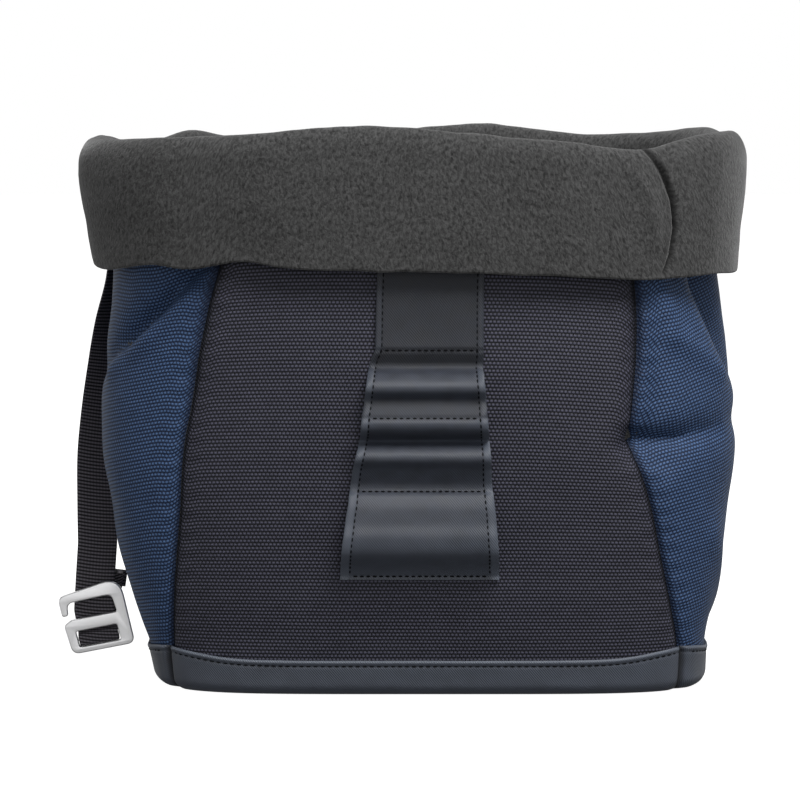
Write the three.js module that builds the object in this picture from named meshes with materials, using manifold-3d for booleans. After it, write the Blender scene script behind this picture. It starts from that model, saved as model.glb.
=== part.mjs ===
import * as THREE from "three";
import { mergeVertices } from "three/addons/utils/BufferGeometryUtils.js";
import Module from "manifold-3d";

// A climbing chalk bag, standing open on its base, in millimetres. X is to the bag's right as seen from the
// front, the front faces -Y, Z is up, and the origin is the middle of the base on the floor.

// Driving sizes of the sewn body
const halfWidth = 155; // half of the widest section, side to side
const halfDepth = 95; // half of the deepest section, front to back
const wallHeight = 245; // top edge of the woven walls, hidden under the rolled mouth
const cloth = 1.2; // coarse woven nylon
const coated = 1.3; // smooth coated fabric of the foot and the ladder
const fleece = 2.5; // lining, pile included
const gap = 0.3; // clearance between pieces that are sewn together
const seamGap = 0.3; // width of the slit between two panels
const seamDip = 2.2; // how far a seam draws the cloth in
const seamWidth = 4.5; // reach of that groove to each side
const footRoll = 6; // radius at which the wall turns under the base
const baseThick = 1.6; // base panel

// Driving sizes of the foot band and the cuff
const bandHeight = 17.5; // coated band, from the floor to its top edge
const bandCornerRise = 4.3; // the band's top edge climbs by this much at the corners
const bandCornerReach = 24; // length of that climb along the edge
const rimHeight = 266; // top of the rolled mouth
const rollHalf = 8.3; // half of the roll's thickness, lining to outer face
const rollRise = 9; // height of the rounded part of the roll
const hemHeight = 202; // lower edge of the cuff
const hemStand = 9.6; // outer face of the hem, off the woven wall
const cuffBow = 0.9; // outward bow of the hanging cuff
const foldDepth = 10; // unit of the dents and folds in the walls
const foldWidth = 10; // unit of their breadth
const cuffFold = 5; // unit of the folds in the cuff

// Driving sizes of the ladder strip
const ladderHalf = 25; // half of the strip's width at its top
const ladderStand = 9.6; // furthest that a loop stands off the wall

// Driving sizes of the webbing and the hook
const strapWidth = 20;
const strapThick = 1.2;
const hookWidth = 34;
const hookPlate = 3;
const hookLift = 2.6; // lowest point of the hook above the floor
const hookBack = 14; // how far the hook hangs behind the bag's middle
const hookClear = 9.3; // how far the bar's middle hangs outside the widest section
const hookRoll = THREE.MathUtils.degToRad(10.5);
const hookTurn = THREE.MathUtils.degToRad(3);
const windowHeight = 8.2;
const footBar = 3;
const midBar = 6.2;
const topBar = 8;
const slotHeight = 9.2;
const lipWidth = 4.2;
const legWidth = 6.6;
const leftLeg = 5.8; // narrower leg of the window, on the lip's side
const lipFall = 2.3; // how far the lip's tip reaches up from the middle bar
const tipDrop = 3.2; // how far the lip's outer corner rises over the slot's top
const plateTaper = 1.4; // the plate narrows towards its top on the right
const footTaper = 2.2; // and towards its foot on the left
const plateEase = 0.6; // small shifts that keep the bars from being parallel
const footCorner = 4; // corner radii of the plate's outline
const backCorner = 10;
const tipCorner = 3.5;
const innerCorner = 3;
const smallCorner = 1.2;
const hookBevel = 0.5;
const barHalf = 1; // half height of the bar that carries the webbing
const barThick = 1.1;
const strapBehind = 1.6; // room between the hook's back and the webbing
const strapSeat = 0.5; // clearance of the webbing to the wall that it is sewn to
const strapTurn = THREE.MathUtils.degToRad(174.5); // where on the left side it is sewn
const tailLength = 36;
const tailLean = THREE.MathUtils.degToRad(14);
const tailKick = 7; // how far the tail's end stands away behind the webbing
const sewnTop = 0.985; // share of wallHeight at which the webbing starts
const strapRows = 22; // rows of its free run

// Level sections of the woven wall. height: share of wallHeight. wide: share of halfWidth. deep: share of
// halfDepth. power: exponent of the rounded rectangle. lean: sideways shift, share of halfWidth. left,
// right and rear: how far the front left, front right and back seams stand from the middle, share of
// halfWidth.
const SECTIONS = [
  { height: 0, wide: 0.856, deep: 0.863, power: 5, lean: 0.017, left: 0.78, right: 0.78, rear: 0.78 },
  { height: 0.08, wide: 0.875, deep: 0.893, power: 4.7, lean: 0.005, left: 0.787, right: 0.783, rear: 0.777 },
  { height: 0.18, wide: 0.921, deep: 0.93, power: 4.3, lean: -0.006, left: 0.78, right: 0.752, rear: 0.762 },
  { height: 0.27, wide: 0.955, deep: 0.957, power: 4, lean: -0.015, left: 0.767, right: 0.719, rear: 0.747 },
  { height: 0.36, wide: 0.974, deep: 0.98, power: 3.8, lean: -0.018, left: 0.753, right: 0.688, rear: 0.732 },
  { height: 0.44, wide: 0.995, deep: 0.995, power: 3.6, lean: -0.02, left: 0.745, right: 0.651, rear: 0.717 },
  { height: 0.5, wide: 1, deep: 1, power: 3.5, lean: -0.019, left: 0.734, right: 0.624, rear: 0.704 },
  { height: 0.56, wide: 0.999, deep: 1, power: 3.4, lean: -0.021, left: 0.715, right: 0.628, rear: 0.69 },
  { height: 0.65, wide: 0.986, deep: 0.995, power: 3.3, lean: -0.024, left: 0.691, right: 0.64, rear: 0.668 },
  { height: 0.75, wide: 0.962, deep: 0.985, power: 3.2, lean: -0.026, left: 0.658, right: 0.637, rear: 0.646 },
  { height: 0.84, wide: 0.951, deep: 0.975, power: 3.1, lean: -0.033, left: 0.626, right: 0.626, rear: 0.626 },
  { height: 1, wide: 0.977, deep: 0.968, power: 3, lean: -0.042, left: 0.616, right: 0.616, rear: 0.616 },
];

// Dents (negative) and ridges (positive) of the walls. Each is a path of nodes. turn: degrees about the
// upright axis, 0 at the right side and -90 at the front. height: share of wallHeight. depth: share of
// foldDepth. width: share of foldWidth, the reach of the fold to each side of its path.
const WALL_FOLDS = [
  { name: "right tuck", nodes: [
    { turn: -20, height: 1, depth: -0.5, width: 1.5 },
    { turn: -19, height: 0.8, depth: -1.75, width: 1.5 },
    { turn: -15, height: 0.7, depth: -1.5, width: 1.4 },
    { turn: -8, height: 0.62, depth: -0.7, width: 1.2 },
    { turn: -3, height: 0.56, depth: -0.1, width: 1 }] },
  { name: "right lobe edge", nodes: [
    { turn: -35, height: 0.82, depth: 0.25, width: 0.6 },
    { turn: -33, height: 0.7, depth: 0.3, width: 0.6 },
    { turn: -22, height: 0.62, depth: 0.2, width: 0.6 }] },
  { name: "right pinch", nodes: [
    { turn: -42, height: 0.49, depth: -0.5, width: 0.7 },
    { turn: -30, height: 0.505, depth: -0.35, width: 0.8 },
    { turn: -10, height: 0.525, depth: -0.25, width: 0.8 },
    { turn: 8, height: 0.53, depth: -0.05, width: 0.8 }] },
  { name: "right dent", nodes: [
    { turn: -39, height: 0.465, depth: -0.25, width: 0.6 },
    { turn: -36, height: 0.455, depth: -0.25, width: 0.6 }] },
  { name: "right lower ridge", nodes: [
    { turn: -24, height: 0.3, depth: 0.15, width: 0.8 },
    { turn: -10, height: 0.15, depth: 0.2, width: 0.8 }] },
  { name: "left front crease", nodes: [
    { turn: -142, height: 0.83, depth: -0.5, width: 0.9 },
    { turn: -150, height: 0.74, depth: -0.45, width: 0.8 },
    { turn: -157, height: 0.68, depth: -0.4, width: 0.8 },
    { turn: -168, height: 0.63, depth: -0.25, width: 0.8 },
    { turn: -177, height: 0.61, depth: -0.05, width: 0.8 }] },
  { name: "left seam ridge", nodes: [
    { turn: -137, height: 0.8, depth: 0.22, width: 0.7 },
    { turn: -140, height: 0.66, depth: 0.12, width: 0.7 }] },
  { name: "left tuck behind the strap", nodes: [
    { turn: 167, height: 1, depth: -0.2, width: 1.6 },
    { turn: 166, height: 0.8, depth: -0.8, width: 1.6 },
    { turn: 166, height: 0.5, depth: -0.85, width: 1.5 },
    { turn: 166, height: 0.36, depth: -0.1, width: 1.4 }] },
];

// Folds of the cuff, in the same terms but with depth a share of cuffFold and height a share of rimHeight.
const CUFF_FOLDS = [
  { name: "right crease", nodes: [
    { turn: -39, height: 1, depth: -0.7, width: 0.7 },
    { turn: -32.5, height: 0.9, depth: -0.8, width: 0.6 },
    { turn: -32.5, height: 0.83, depth: -0.45, width: 0.5 },
    { turn: -35, height: 0.75, depth: -0.2, width: 0.5 }] },
  { name: "right lobe", nodes: [
    { turn: -24, height: 0.99, depth: 0.35, width: 1 },
    { turn: -25, height: 0.9, depth: 0.3, width: 0.9 },
    { turn: -26, height: 0.8, depth: 0.1, width: 0.9 }] },
  { name: "left hollow", nodes: [
    { turn: -141, height: 0.98, depth: -0.15, width: 1.6 },
    { turn: -143, height: 0.76, depth: 0.15, width: 1.2 }] },
  { name: "left front wave", nodes: [
    { turn: -132, height: 0.98, depth: 0.1, width: 1.4 },
    { turn: -132, height: 0.76, depth: -0.4, width: 1.2 }] },
];

// Height of the mouth and of the hem round the bag. turn: degrees. rim: share of rimHeight. hem: share of
// hemHeight.
const EDGES = [
  { turn: -170, rim: 0.985, hem: 1.005 },
  { turn: -158, rim: 0.985, hem: 0.997 },
  { turn: -148, rim: 0.986, hem: 1.014 },
  { turn: -142, rim: 0.987, hem: 1.003 },
  { turn: -132, rim: 0.991, hem: 1.021 },
  { turn: -124, rim: 0.996, hem: 1.007 },
  { turn: -108, rim: 1.007, hem: 1.002 },
  { turn: -86, rim: 1.001, hem: 1 },
  { turn: -64, rim: 0.988, hem: 0.992 },
  { turn: -50, rim: 0.979, hem: 0.987 },
  { turn: -38, rim: 0.967, hem: 0.98 },
  { turn: -27, rim: 0.992, hem: 0.988 },
  { turn: -14, rim: 1.003, hem: 0.987 },
  { turn: 2, rim: 1.002, hem: 1.008 },
  { turn: 16, rim: 1.011, hem: 1 },
  { turn: 40, rim: 0.995, hem: 1.006 },
  { turn: 66, rim: 1.016, hem: 0.998 },
  { turn: 100, rim: 1.002, hem: 1.004 },
  { turn: 128, rim: 0.991, hem: 0.997 },
  { turn: 139, rim: 0.994, hem: 1 },
  { turn: 146, rim: 1.003, hem: 1.004 },
  { turn: 152, rim: 0.986, hem: 1.006 },
  { turn: 158, rim: 0.982, hem: 1.008 },
  { turn: 168, rim: 0.992, hem: 1.014 },
  { turn: 179, rim: 0.99, hem: 1.022 },
];

// The ladder strip from its top end down. height: share of wallHeight. left and right: its edges, share of
// ladderHalf. stand: how far its outer face stands off the wall, share of ladderStand, on top of its own
// gap and thickness: 0 is a row sewn down.
const LADDER = [
  { height: 0.87, left: -0.92, right: 1.06, stand: 0 },
  { height: 0.82, left: -0.92, right: 1.06, stand: 0.01 },
  { height: 0.75, left: -0.94, right: 1.05, stand: 0.05 },
  { height: 0.69, left: -0.95, right: 1.05, stand: 0.09 },
  { height: 0.672, left: -0.96, right: 1.05, stand: 0.13 },
  { height: 0.655, left: -1.03, right: 1.05, stand: 0.07 },
  { height: 0.64, left: -1.07, right: 1.04, stand: 0 },
  { height: 0.628, left: -1.09, right: 1.05, stand: 0.4 },
  { height: 0.612, left: -1.11, right: 1.06, stand: 0.78 },
  { height: 0.597, left: -1.13, right: 1.08, stand: 0.84 },
  { height: 0.582, left: -1.15, right: 1.09, stand: 0.67 },
  { height: 0.571, left: -1.16, right: 1.1, stand: 0.64 },
  { height: 0.553, left: -1.19, right: 1.11, stand: 0.78 },
  { height: 0.534, left: -1.21, right: 1.13, stand: 0.92 },
  { height: 0.521, left: -1.22, right: 1.14, stand: 0.78 },
  { height: 0.51, left: -1.23, right: 1.15, stand: 0.36 },
  { height: 0.501, left: -1.25, right: 1.16, stand: 0 },
  { height: 0.49, left: -1.27, right: 1.17, stand: 0.36 },
  { height: 0.477, left: -1.3, right: 1.18, stand: 0.66 },
  { height: 0.465, left: -1.33, right: 1.19, stand: 0.7 },
  { height: 0.447, left: -1.37, right: 1.2, stand: 0.42 },
  { height: 0.426, left: -1.4, right: 1.21, stand: 0.08 },
  { height: 0.411, left: -1.42, right: 1.22, stand: 0 },
  { height: 0.396, left: -1.44, right: 1.24, stand: 0.3 },
  { height: 0.376, left: -1.46, right: 1.26, stand: 0.55 },
  { height: 0.359, left: -1.49, right: 1.28, stand: 0.66 },
  { height: 0.343, left: -1.51, right: 1.29, stand: 0.76 },
  { height: 0.32, left: -1.54, right: 1.31, stand: 0.98 },
  { height: 0.306, left: -1.56, right: 1.32, stand: 1 },
  { height: 0.286, left: -1.58, right: 1.34, stand: 0.68 },
  { height: 0.262, left: -1.6, right: 1.35, stand: 0.22 },
  { height: 0.241, left: -1.61, right: 1.36, stand: 0 },
  { height: 0.232, left: -1.62, right: 1.36, stand: 0 },
];

// The hanging webbing from under the cuff down to the hook. height: share of wallHeight. out: how far its
// middle stands from the bag's middle, share of halfWidth. back: share of halfDepth. twist: degrees
// between its face and the front. Above its first row it is sewn flat to the wall.
const STRAP = [
  { height: 0.9, out: -1.01, back: 0.16, twist: 84 },
  { height: 0.8, out: -1.001, back: 0.17, twist: 73 },
  { height: 0.7, out: -1.031, back: 0.215, twist: 60 },
  { height: 0.6, out: -1.05, back: 0.28, twist: 42 },
  { height: 0.5, out: -1.067, back: 0.31, twist: 29 },
  { height: 0.42, out: -1.076, back: 0.305, twist: 23 },
  { height: 0.32, out: -1.073, back: 0.26, twist: 18 },
  { height: 0.24, out: -1.068, back: 0.215, twist: 13 },
];

// The webbing's way round the bar, in the hook's frame. station and share: how far in front of the plate's
// back it lies. side: above (1) or below (-1) the bar. slack: extra height, share of strapThick. lean:
// share of tailLean.
const WRAP = [
  { station: "behind", share: 0.55, side: 1, slack: 0.75, lean: 0 },
  { station: "barBack", share: 1, side: 1, slack: 0.08, lean: 0 },
  { station: "barFront", share: 1, side: 1, slack: 0, lean: 0 },
  { station: "front", share: 0.91, side: 1, slack: -0.33, lean: 0 },
  { station: "front", share: 1, side: 0.4, slack: 0, lean: 0 },
  { station: "front", share: 1, side: -0.4, slack: 0, lean: 0 },
  { station: "front", share: 0.91, side: -1, slack: 0.33, lean: 0 },
  { station: "barFront", share: 1, side: -1, slack: 0, lean: 0 },
  { station: "barBack", share: 1, side: -1, slack: -0.08, lean: 0 },
  { station: "tail", share: 0.55, side: -1, slack: -0.17, lean: 0 },
  { station: "tail", share: 0.9, side: -1, slack: 0.92, lean: 0.02 },
  { station: "tail", share: 1, side: 1, slack: 1.17, lean: 0.12 },
];
const TAIL_ROWS = [0.3, 0.6, 0.9, 1];

// How the columns of each wall panel are spread between its two seams, and the rows up the wall.
const FRONT_SPREAD = [0, 0.03, 0.1, 0.22, 0.34, 0.45, 0.55, 0.66, 0.78, 0.9, 0.97, 1];
const SIDE_SPREAD = [
  0, 0.02, 0.055, 0.11, 0.165, 0.22, 0.275, 0.33, 0.385,
  0.44, 0.5, 0.56, 0.62, 0.69, 0.77, 0.86, 0.95, 0.985, 1,
];
const BACK_SPREAD = [0, 0.03, 0.12, 0.3, 0.5, 0.7, 0.88, 0.97, 1];
const WALL_ROWS = [0, 0.09, 0.17, 0.25, 0.33, 0.4, 0.45, 0.49, 0.53, 0.58, 0.64, 0.7, 0.76, 0.83, 0.91, 1];

// Rows of the fleece where it turns over the mouth, as shares of the half turn, and where the cuff hangs,
// as shares of its drop. The under side comes first.
const ROLL_UNDER = [0.2, 0.5, 0.8];
const CUFF_UNDER = [0.02, 0.5, 0.97];
const HEM_ROUND = { under: 0.7, over: 0.3 };
const CUFF_OVER = [0.97, 0.78, 0.5, 0.25, 0.02];
const ROLL_OVER = [0.88, 0.7, 0.5, 0.3, 0.12];

const FLEECE_GREY = "#444444";
const BLACK_WEAVE = "#2c2d35";
const NAVY_WEAVE = "#2f3d55";
const COATED_BLACK = "#3f424c";
const WEBBING_BLACK = "#222328";
const SATIN_METAL = "#c4c4c4";

const radians = THREE.MathUtils.degToRad;

// Smooth curve through one column of a table whose rows are sorted by another column
function curveOf(rows, key, column) {
  const sorted = [...rows].sort((a, b) => a[key] - b[key]);
  const keys = sorted.map((row) => row[key]);
  const values = sorted.map((row) => row[column]);
  const curve = new THREE.CubicInterpolant(keys, values, 1);
  return (at) => curve.evaluate(THREE.MathUtils.clamp(at, keys[0], keys[keys.length - 1]))[0];
}

// The same for a column that runs right round the bag
function ringCurveOf(rows, column) {
  const wrapped = [-360, 0, 360].flatMap((shift) => rows.map((row) => ({ ...row, turn: row.turn + shift })));
  const curve = curveOf(wrapped, "turn", column);
  return (turn) => curve(THREE.MathUtils.radToDeg(turn));
}

const wideAt = curveOf(SECTIONS, "height", "wide");
const deepAt = curveOf(SECTIONS, "height", "deep");
const powerAt = curveOf(SECTIONS, "height", "power");
const leanAt = curveOf(SECTIONS, "height", "lean");
const leftSeamAt = curveOf(SECTIONS, "height", "left");
const rightSeamAt = curveOf(SECTIONS, "height", "right");
const rearSeamAt = curveOf(SECTIONS, "height", "rear");
const strapOutAt = curveOf(STRAP, "height", "out");
const strapBackAt = curveOf(STRAP, "height", "back");
const strapTwistAt = curveOf(STRAP, "height", "twist");
const rimShare = ringCurveOf(EDGES, "rim");
const hemShare = ringCurveOf(EDGES, "hem");

function sectionAt(z) {
  const share = z / wallHeight;
  return {
    a: halfWidth * wideAt(share),
    b: halfDepth * deepAt(share),
    n: powerAt(share),
    lean: halfWidth * leanAt(share),
  };
}

// Point of the smooth wall, before folds, pushed out along its level normal
function smoothPoint(turn, z, out) {
  const { a, b, n, lean } = sectionAt(z);
  const c = Math.cos(turn);
  const s = Math.sin(turn);
  const reach = (Math.abs(c) / a) ** n + (Math.abs(s) / b) ** n;
  const radius = reach ** (-1 / n);
  const normal = new THREE.Vector2(
    (Math.sign(c) * Math.abs(c / a) ** (n - 1)) / a,
    (Math.sign(s) * Math.abs(s / b) ** (n - 1)) / b,
  ).normalize();
  return new THREE.Vector3(lean + radius * c + normal.x * out, radius * s + normal.y * out, z);
}

// Turn at which the smooth wall passes a given distance from the bag's middle, at the front or the back
function turnAtX(x, z, facing) {
  const { a, b, n, lean } = sectionAt(z);
  const along = x - lean;
  const away = b * (1 - Math.min(1, Math.abs(along / a) ** n)) ** (1 / n);
  return Math.atan2(facing * away, along);
}

// The four seams, in order round the bag from the front left one, as turns that only grow
function seamTurns(z) {
  const share = z / wallHeight;
  const full = 2 * Math.PI;
  const frontLeft = turnAtX(-halfWidth * leftSeamAt(share), z, -1);
  const frontRight = turnAtX(halfWidth * rightSeamAt(share), z, -1);
  const backRight = turnAtX(halfWidth * rearSeamAt(share), z, 1);
  const backLeft = turnAtX(-halfWidth * rearSeamAt(share), z, 1);
  return [frontLeft, frontRight, backRight, backLeft, frontLeft + full];
}

// A fold's path laid on the smooth surface, with its depth and width in millimetres
function laidFold(fold, tall, depthUnit) {
  return fold.nodes.map((node) => ({
    point: smoothPoint(radians(node.turn), node.height * tall, 0),
    depth: node.depth * depthUnit,
    width: node.width * foldWidth,
  }));
}

const seamRows = SECTIONS.map((row) => row.height * wallHeight);
const seamPaths = [0, 1, 2, 3].map((index) => seamRows.map((z) => ({
  point: smoothPoint(seamTurns(z)[index], z, 0),
  depth: -seamDip,
  width: seamWidth,
})));
const wallFolds = [...WALL_FOLDS.map((fold) => laidFold(fold, wallHeight, foldDepth)), ...seamPaths];
const cuffFolds = CUFF_FOLDS.map((fold) => laidFold(fold, rimHeight, cuffFold));

// How far a set of folds pushes a point of the smooth surface in or out
function foldPush(folds, at) {
  const line = new THREE.Line3();
  const closest = new THREE.Vector3();
  let push = 0;
  for (const nodes of folds) {
    let best = 0;
    for (let i = 0; i + 1 < nodes.length; i += 1) {
      line.set(nodes[i].point, nodes[i + 1].point);
      const along = line.closestPointToPointParameter(at, true);
      line.at(along, closest);
      const width = THREE.MathUtils.lerp(nodes[i].width, nodes[i + 1].width, along);
      const depth = THREE.MathUtils.lerp(nodes[i].depth, nodes[i + 1].depth, along);
      const here = depth * Math.exp(-((closest.distanceTo(at) / width) ** 2));
      best = Math.abs(here) > Math.abs(best) ? here : best;
    }
    push += best;
  }
  return push;
}

// How far the wall rolls in under the base at a height
function rollIn(z) {
  const left = Math.max(0, footRoll - z);
  return footRoll - Math.sqrt(footRoll ** 2 - left ** 2);
}

// Point of a layer of the wall: out is 0 on the woven cloth's outer face and negative towards the inside
function wallPoint(turn, z, out) {
  const calm = 1 - THREE.MathUtils.smoothstep(z, hemHeight, wallHeight);
  const push = calm * foldPush(wallFolds, smoothPoint(turn, z, 0));
  return smoothPoint(turn, z, out + push - rollIn(z));
}

// Point of the cuff, which hangs straight over the folds of the wall but has folds of its own
function cuffPoint(turn, z, out) {
  const push = foldPush(cuffFolds, smoothPoint(turn, z, 0));
  const hang = THREE.MathUtils.smoothstep(out, -rollHalf / 2, rollHalf);
  return smoothPoint(turn, Math.min(z, wallHeight), out + push * hang).setZ(z);
}

// Solid from rows of rings that close round the bag. poles are points or null at the two ends of the list.
function ringSolid(rings, poles) {
  const count = rings[0].length;
  const points = rings.flat();
  const faces = [];
  for (let row = 0; row + 1 < rings.length; row += 1) {
    for (let i = 0; i < count; i += 1) {
      const next = (i + 1) % count;
      const low = row * count;
      const high = low + count;
      faces.push([low + i, low + next, high + next], [low + i, high + next, high + i]);
    }
  }
  const last = (rings.length - 1) * count;
  const first = points.push(poles[0]) - 1;
  const end = points.push(poles[1]) - 1;
  for (let i = 0; i < count; i += 1) {
    const next = (i + 1) % count;
    faces.push([first, next, i], [end, last + i, last + next]);
  }
  return solidGeometry(points, faces);
}

// Solid between two grids of points with as many rows and columns each
function sheetSolid(outer, inner) {
  const rows = outer.length;
  const columns = outer[0].length;
  const points = [...outer.flat(), ...inner.flat()];
  const back = rows * columns;
  const faces = [];
  const quad = (a, b, c, d) => faces.push([a, b, c], [a, c, d]);
  for (let r = 0; r + 1 < rows; r += 1) {
    for (let c = 0; c + 1 < columns; c += 1) {
      const at = r * columns + c;
      const up = at + columns;
      quad(at, at + 1, up + 1, up);
      quad(back + at, back + up, back + up + 1, back + at + 1);
    }
  }
  const rim = [];
  for (let c = 0; c + 1 < columns; c += 1) rim.push(c);
  for (let r = 0; r + 1 < rows; r += 1) rim.push(r * columns + columns - 1);
  for (let c = columns - 1; c > 0; c -= 1) rim.push((rows - 1) * columns + c);
  for (let r = rows - 1; r > 0; r -= 1) rim.push(r * columns);
  rim.forEach((at, i) => {
    const next = rim[(i + 1) % rim.length];
    quad(at, back + at, back + next, next);
  });
  return solidGeometry(points, faces);
}

// Closed geometry from shared points and triangles, turned so that its faces point out
function solidGeometry(points, faces) {
  const volume = faces.reduce((sum, [a, b, c]) => {
    const cross = new THREE.Vector3().crossVectors(points[b], points[c]);
    return sum + points[a].dot(cross);
  }, 0);
  const ordered = volume < 0 ? faces.map(([a, b, c]) => [a, c, b]) : faces;
  const geometry = new THREE.BufferGeometry();
  geometry.setAttribute("position", new THREE.Float32BufferAttribute(points.flatMap((p) => p.toArray()), 3));
  geometry.setIndex(ordered.flat());
  geometry.computeVertexNormals();
  return geometry;
}

function finish(colour, roughness, metalness) {
  return new THREE.MeshStandardMaterial({ color: colour, roughness, metalness });
}

const finishes = {
  fleece: finish(FLEECE_GREY, 0.98, 0),
  blackWeave: finish(BLACK_WEAVE, 0.85, 0),
  navyWeave: finish(NAVY_WEAVE, 0.85, 0),
  coated: finish(COATED_BLACK, 0.5, 0),
  webbing: finish(WEBBING_BLACK, 0.8, 0),
  metal: finish(SATIN_METAL, 0.35, 1),
};

function piece(name, geometry, material) {
  const mesh = new THREE.Mesh(geometry, material);
  mesh.name = name;
  return mesh;
}

// The panels in order round the bag, each from one seam to the next
const PANELS = [
  { side: "front", seam: 0, spread: FRONT_SPREAD, wall: "front_panel", finish: "blackWeave" },
  { side: "right", seam: 1, spread: SIDE_SPREAD, wall: "right_gusset", finish: "navyWeave" },
  { side: "back", seam: 2, spread: BACK_SPREAD, wall: "back_panel", finish: "blackWeave" },
  { side: "left", seam: 3, spread: SIDE_SPREAD, wall: "left_gusset", finish: "navyWeave" },
];

function spreadTurns(panel, spread, z) {
  const seams = seamTurns(z);
  return spread.map((share) => THREE.MathUtils.lerp(seams[panel.seam], seams[panel.seam + 1], share));
}

// Turns of a panel's columns at a height. The first and last stop short of the seams by half the slit.
function panelTurns(panel, z) {
  const turns = spreadTurns(panel, panel.spread, z);
  const edge = smoothPoint(turns[0], z, 0).distanceTo(smoothPoint(turns[1], z, 0)) / (turns[1] - turns[0]);
  const inset = seamGap / 2 / edge;
  turns[0] += inset;
  turns[turns.length - 1] -= inset;
  return turns;
}

// Turns of all the columns round the bag, one at each seam
function roundTurns(z) {
  return PANELS.flatMap((panel) => spreadTurns(panel, panel.spread.slice(0, -1), z));
}

// Row of a panel at a height, or on an edge that rises and falls along it
function panelRow(panel, z, out, heightOf = () => z) {
  return panelTurns(panel, z).map((turn) => wallPoint(turn, heightOf(turn), out));
}

function panelGrid(panel, rows, out) {
  return rows.map((z) => panelRow(panel, z, out));
}

// Woven walls: four panels on one surface
const shellFoot = baseThick + gap;
const shellRows = WALL_ROWS.map((share) => Math.max(shellFoot, share * wallHeight));

function wallPanel(panel) {
  const geometry = sheetSolid(panelGrid(panel, shellRows, 0), panelGrid(panel, shellRows, -cloth));
  return piece(panel.wall, geometry, finishes[panel.finish]);
}

// The band's top edge, which climbs towards each corner seam
function bandTop(turn) {
  const at = smoothPoint(turn, bandHeight, 0);
  const nearest = Math.min(...seamPaths.map((nodes) => {
    const corner = nodes[1].point;
    return Math.hypot(corner.x - at.x, corner.y - at.y);
  }));
  return bandHeight + bandCornerRise * Math.exp(-((nearest / bandCornerReach) ** 2));
}

function bandPanel(panel) {
  const grid = (out) => [
    ...panelGrid(panel, [0, baseThick, footRoll], out),
    panelRow(panel, bandHeight, out, bandTop),
  ];
  return piece(`${panel.side}_band`, sheetSolid(grid(gap + coated), grid(gap)), finishes.coated);
}

function basePanel() {
  const ring = (z) => roundTurns(z).map((turn) => wallPoint(turn, z, 0));
  const poles = [new THREE.Vector3(0, 0, 0), new THREE.Vector3(0, 0, baseThick)];
  return piece("base_panel", ringSolid([ring(0), ring(baseThick)], poles), finishes.coated);
}

// The fleece: floor, inner wall, roll over the mouth and hanging cuff, one sheet of even thickness
function fleeceLining() {
  const outerWall = -cloth - gap;
  const innerWall = outerWall - fleece;
  const floorTop = shellFoot + fleece;
  const rollMiddle = innerWall + rollHalf;
  const cuffTop = rollMiddle + rollHalf;
  const wallRing = (z, out) => roundTurns(z).map((turn) => wallPoint(turn, z, out));
  const rollRing = (angle, inset) => roundTurns(wallHeight).map((turn) => {
    const out = rollMiddle - (rollHalf - inset) * Math.cos(angle);
    const z = rimHeight * rimShare(turn) - rollRise + (rollRise - inset) * Math.sin(angle);
    return cuffPoint(turn, z, out);
  });
  const cuffRing = (share, inset) => roundTurns(wallHeight).map((turn) => {
    const top = rimHeight * rimShare(turn) - rollRise;
    const out = THREE.MathUtils.lerp(cuffTop, hemStand, share) + cuffBow * Math.sin(Math.PI * share) - inset;
    return cuffPoint(turn, THREE.MathUtils.lerp(top, hemHeight * hemShare(turn), share), out);
  });
  const innerRows = shellRows.filter((z, i) => z > floorTop && (i % 2 === 0 || z > hemHeight / 2));
  const hidden = [
    ...shellRows.map((z) => wallRing(z, outerWall)),
    ...ROLL_UNDER.map((share) => rollRing(Math.PI * share, fleece)),
    ...CUFF_UNDER.map((share) => cuffRing(share, fleece)),
    cuffRing(1, fleece * HEM_ROUND.under),
  ];
  const visible = [
    cuffRing(1, fleece * HEM_ROUND.over),
    ...CUFF_OVER.map((share) => cuffRing(share, 0)),
    ...ROLL_OVER.map((share) => rollRing(Math.PI * share, 0)),
    ...innerRows.reverse().map((z) => wallRing(z, innerWall)),
    wallRing(floorTop, innerWall),
  ];
  const poles = [new THREE.Vector3(0, 0, shellFoot), new THREE.Vector3(0, 0, floorTop)];
  return piece("fleece_lining", ringSolid([...hidden, ...visible], poles), finishes.fleece);
}

// The ladder: a straight-ruled strip, sewn down in rows and slack between them
function closureLadder() {
  const across = [0, 0.5, 1];
  const grid = (out) => LADDER.map((row) => {
    const z = row.height * wallHeight;
    return across.map((share) => {
      const x = ladderHalf * THREE.MathUtils.lerp(row.left, row.right, share);
      const turn = turnAtX(x, z, -1);
      return wallPoint(turn, z, gap + out + row.stand * ladderStand);
    });
  });
  return piece("closure_ladder", sheetSolid(grid(coated), grid(0)), finishes.coated);
}

// Frame of the hook: its origin is the middle of the bar that carries the webbing
const windowHalf = windowHeight / 2;
const hookFoot = -windowHalf - footBar;
const hookFrame = new THREE.Group();
const cornerDrop = -hookFoot * Math.cos(hookRoll) + (hookWidth / 2) * Math.sin(hookRoll);
hookFrame.position.set(-halfWidth - hookClear, hookBack, hookLift + cornerDrop);
hookFrame.rotation.set(0, -hookRoll, hookTurn, "ZYX");

// Path of straight runs with rounded corners, from rows of x, y and corner radius
function roundedPath(path, rows) {
  const count = rows.length;
  rows.forEach((row, i) => {
    const here = new THREE.Vector2(row.x, row.y);
    const before = rows[(i + count - 1) % count];
    const after = rows[(i + 1) % count];
    const cut = (other) => {
      const toward = new THREE.Vector2(other.x, other.y).sub(here);
      return here.clone().addScaledVector(toward.clone().normalize(), Math.min(row.r, toward.length() / 2));
    };
    const start = cut(before);
    const end = cut(after);
    if (i === 0) path.moveTo(start.x, start.y);
    else path.lineTo(start.x, start.y);
    path.quadraticCurveTo(here.x, here.y, end.x, end.y);
  });
  path.closePath();
  return path;
}

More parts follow.
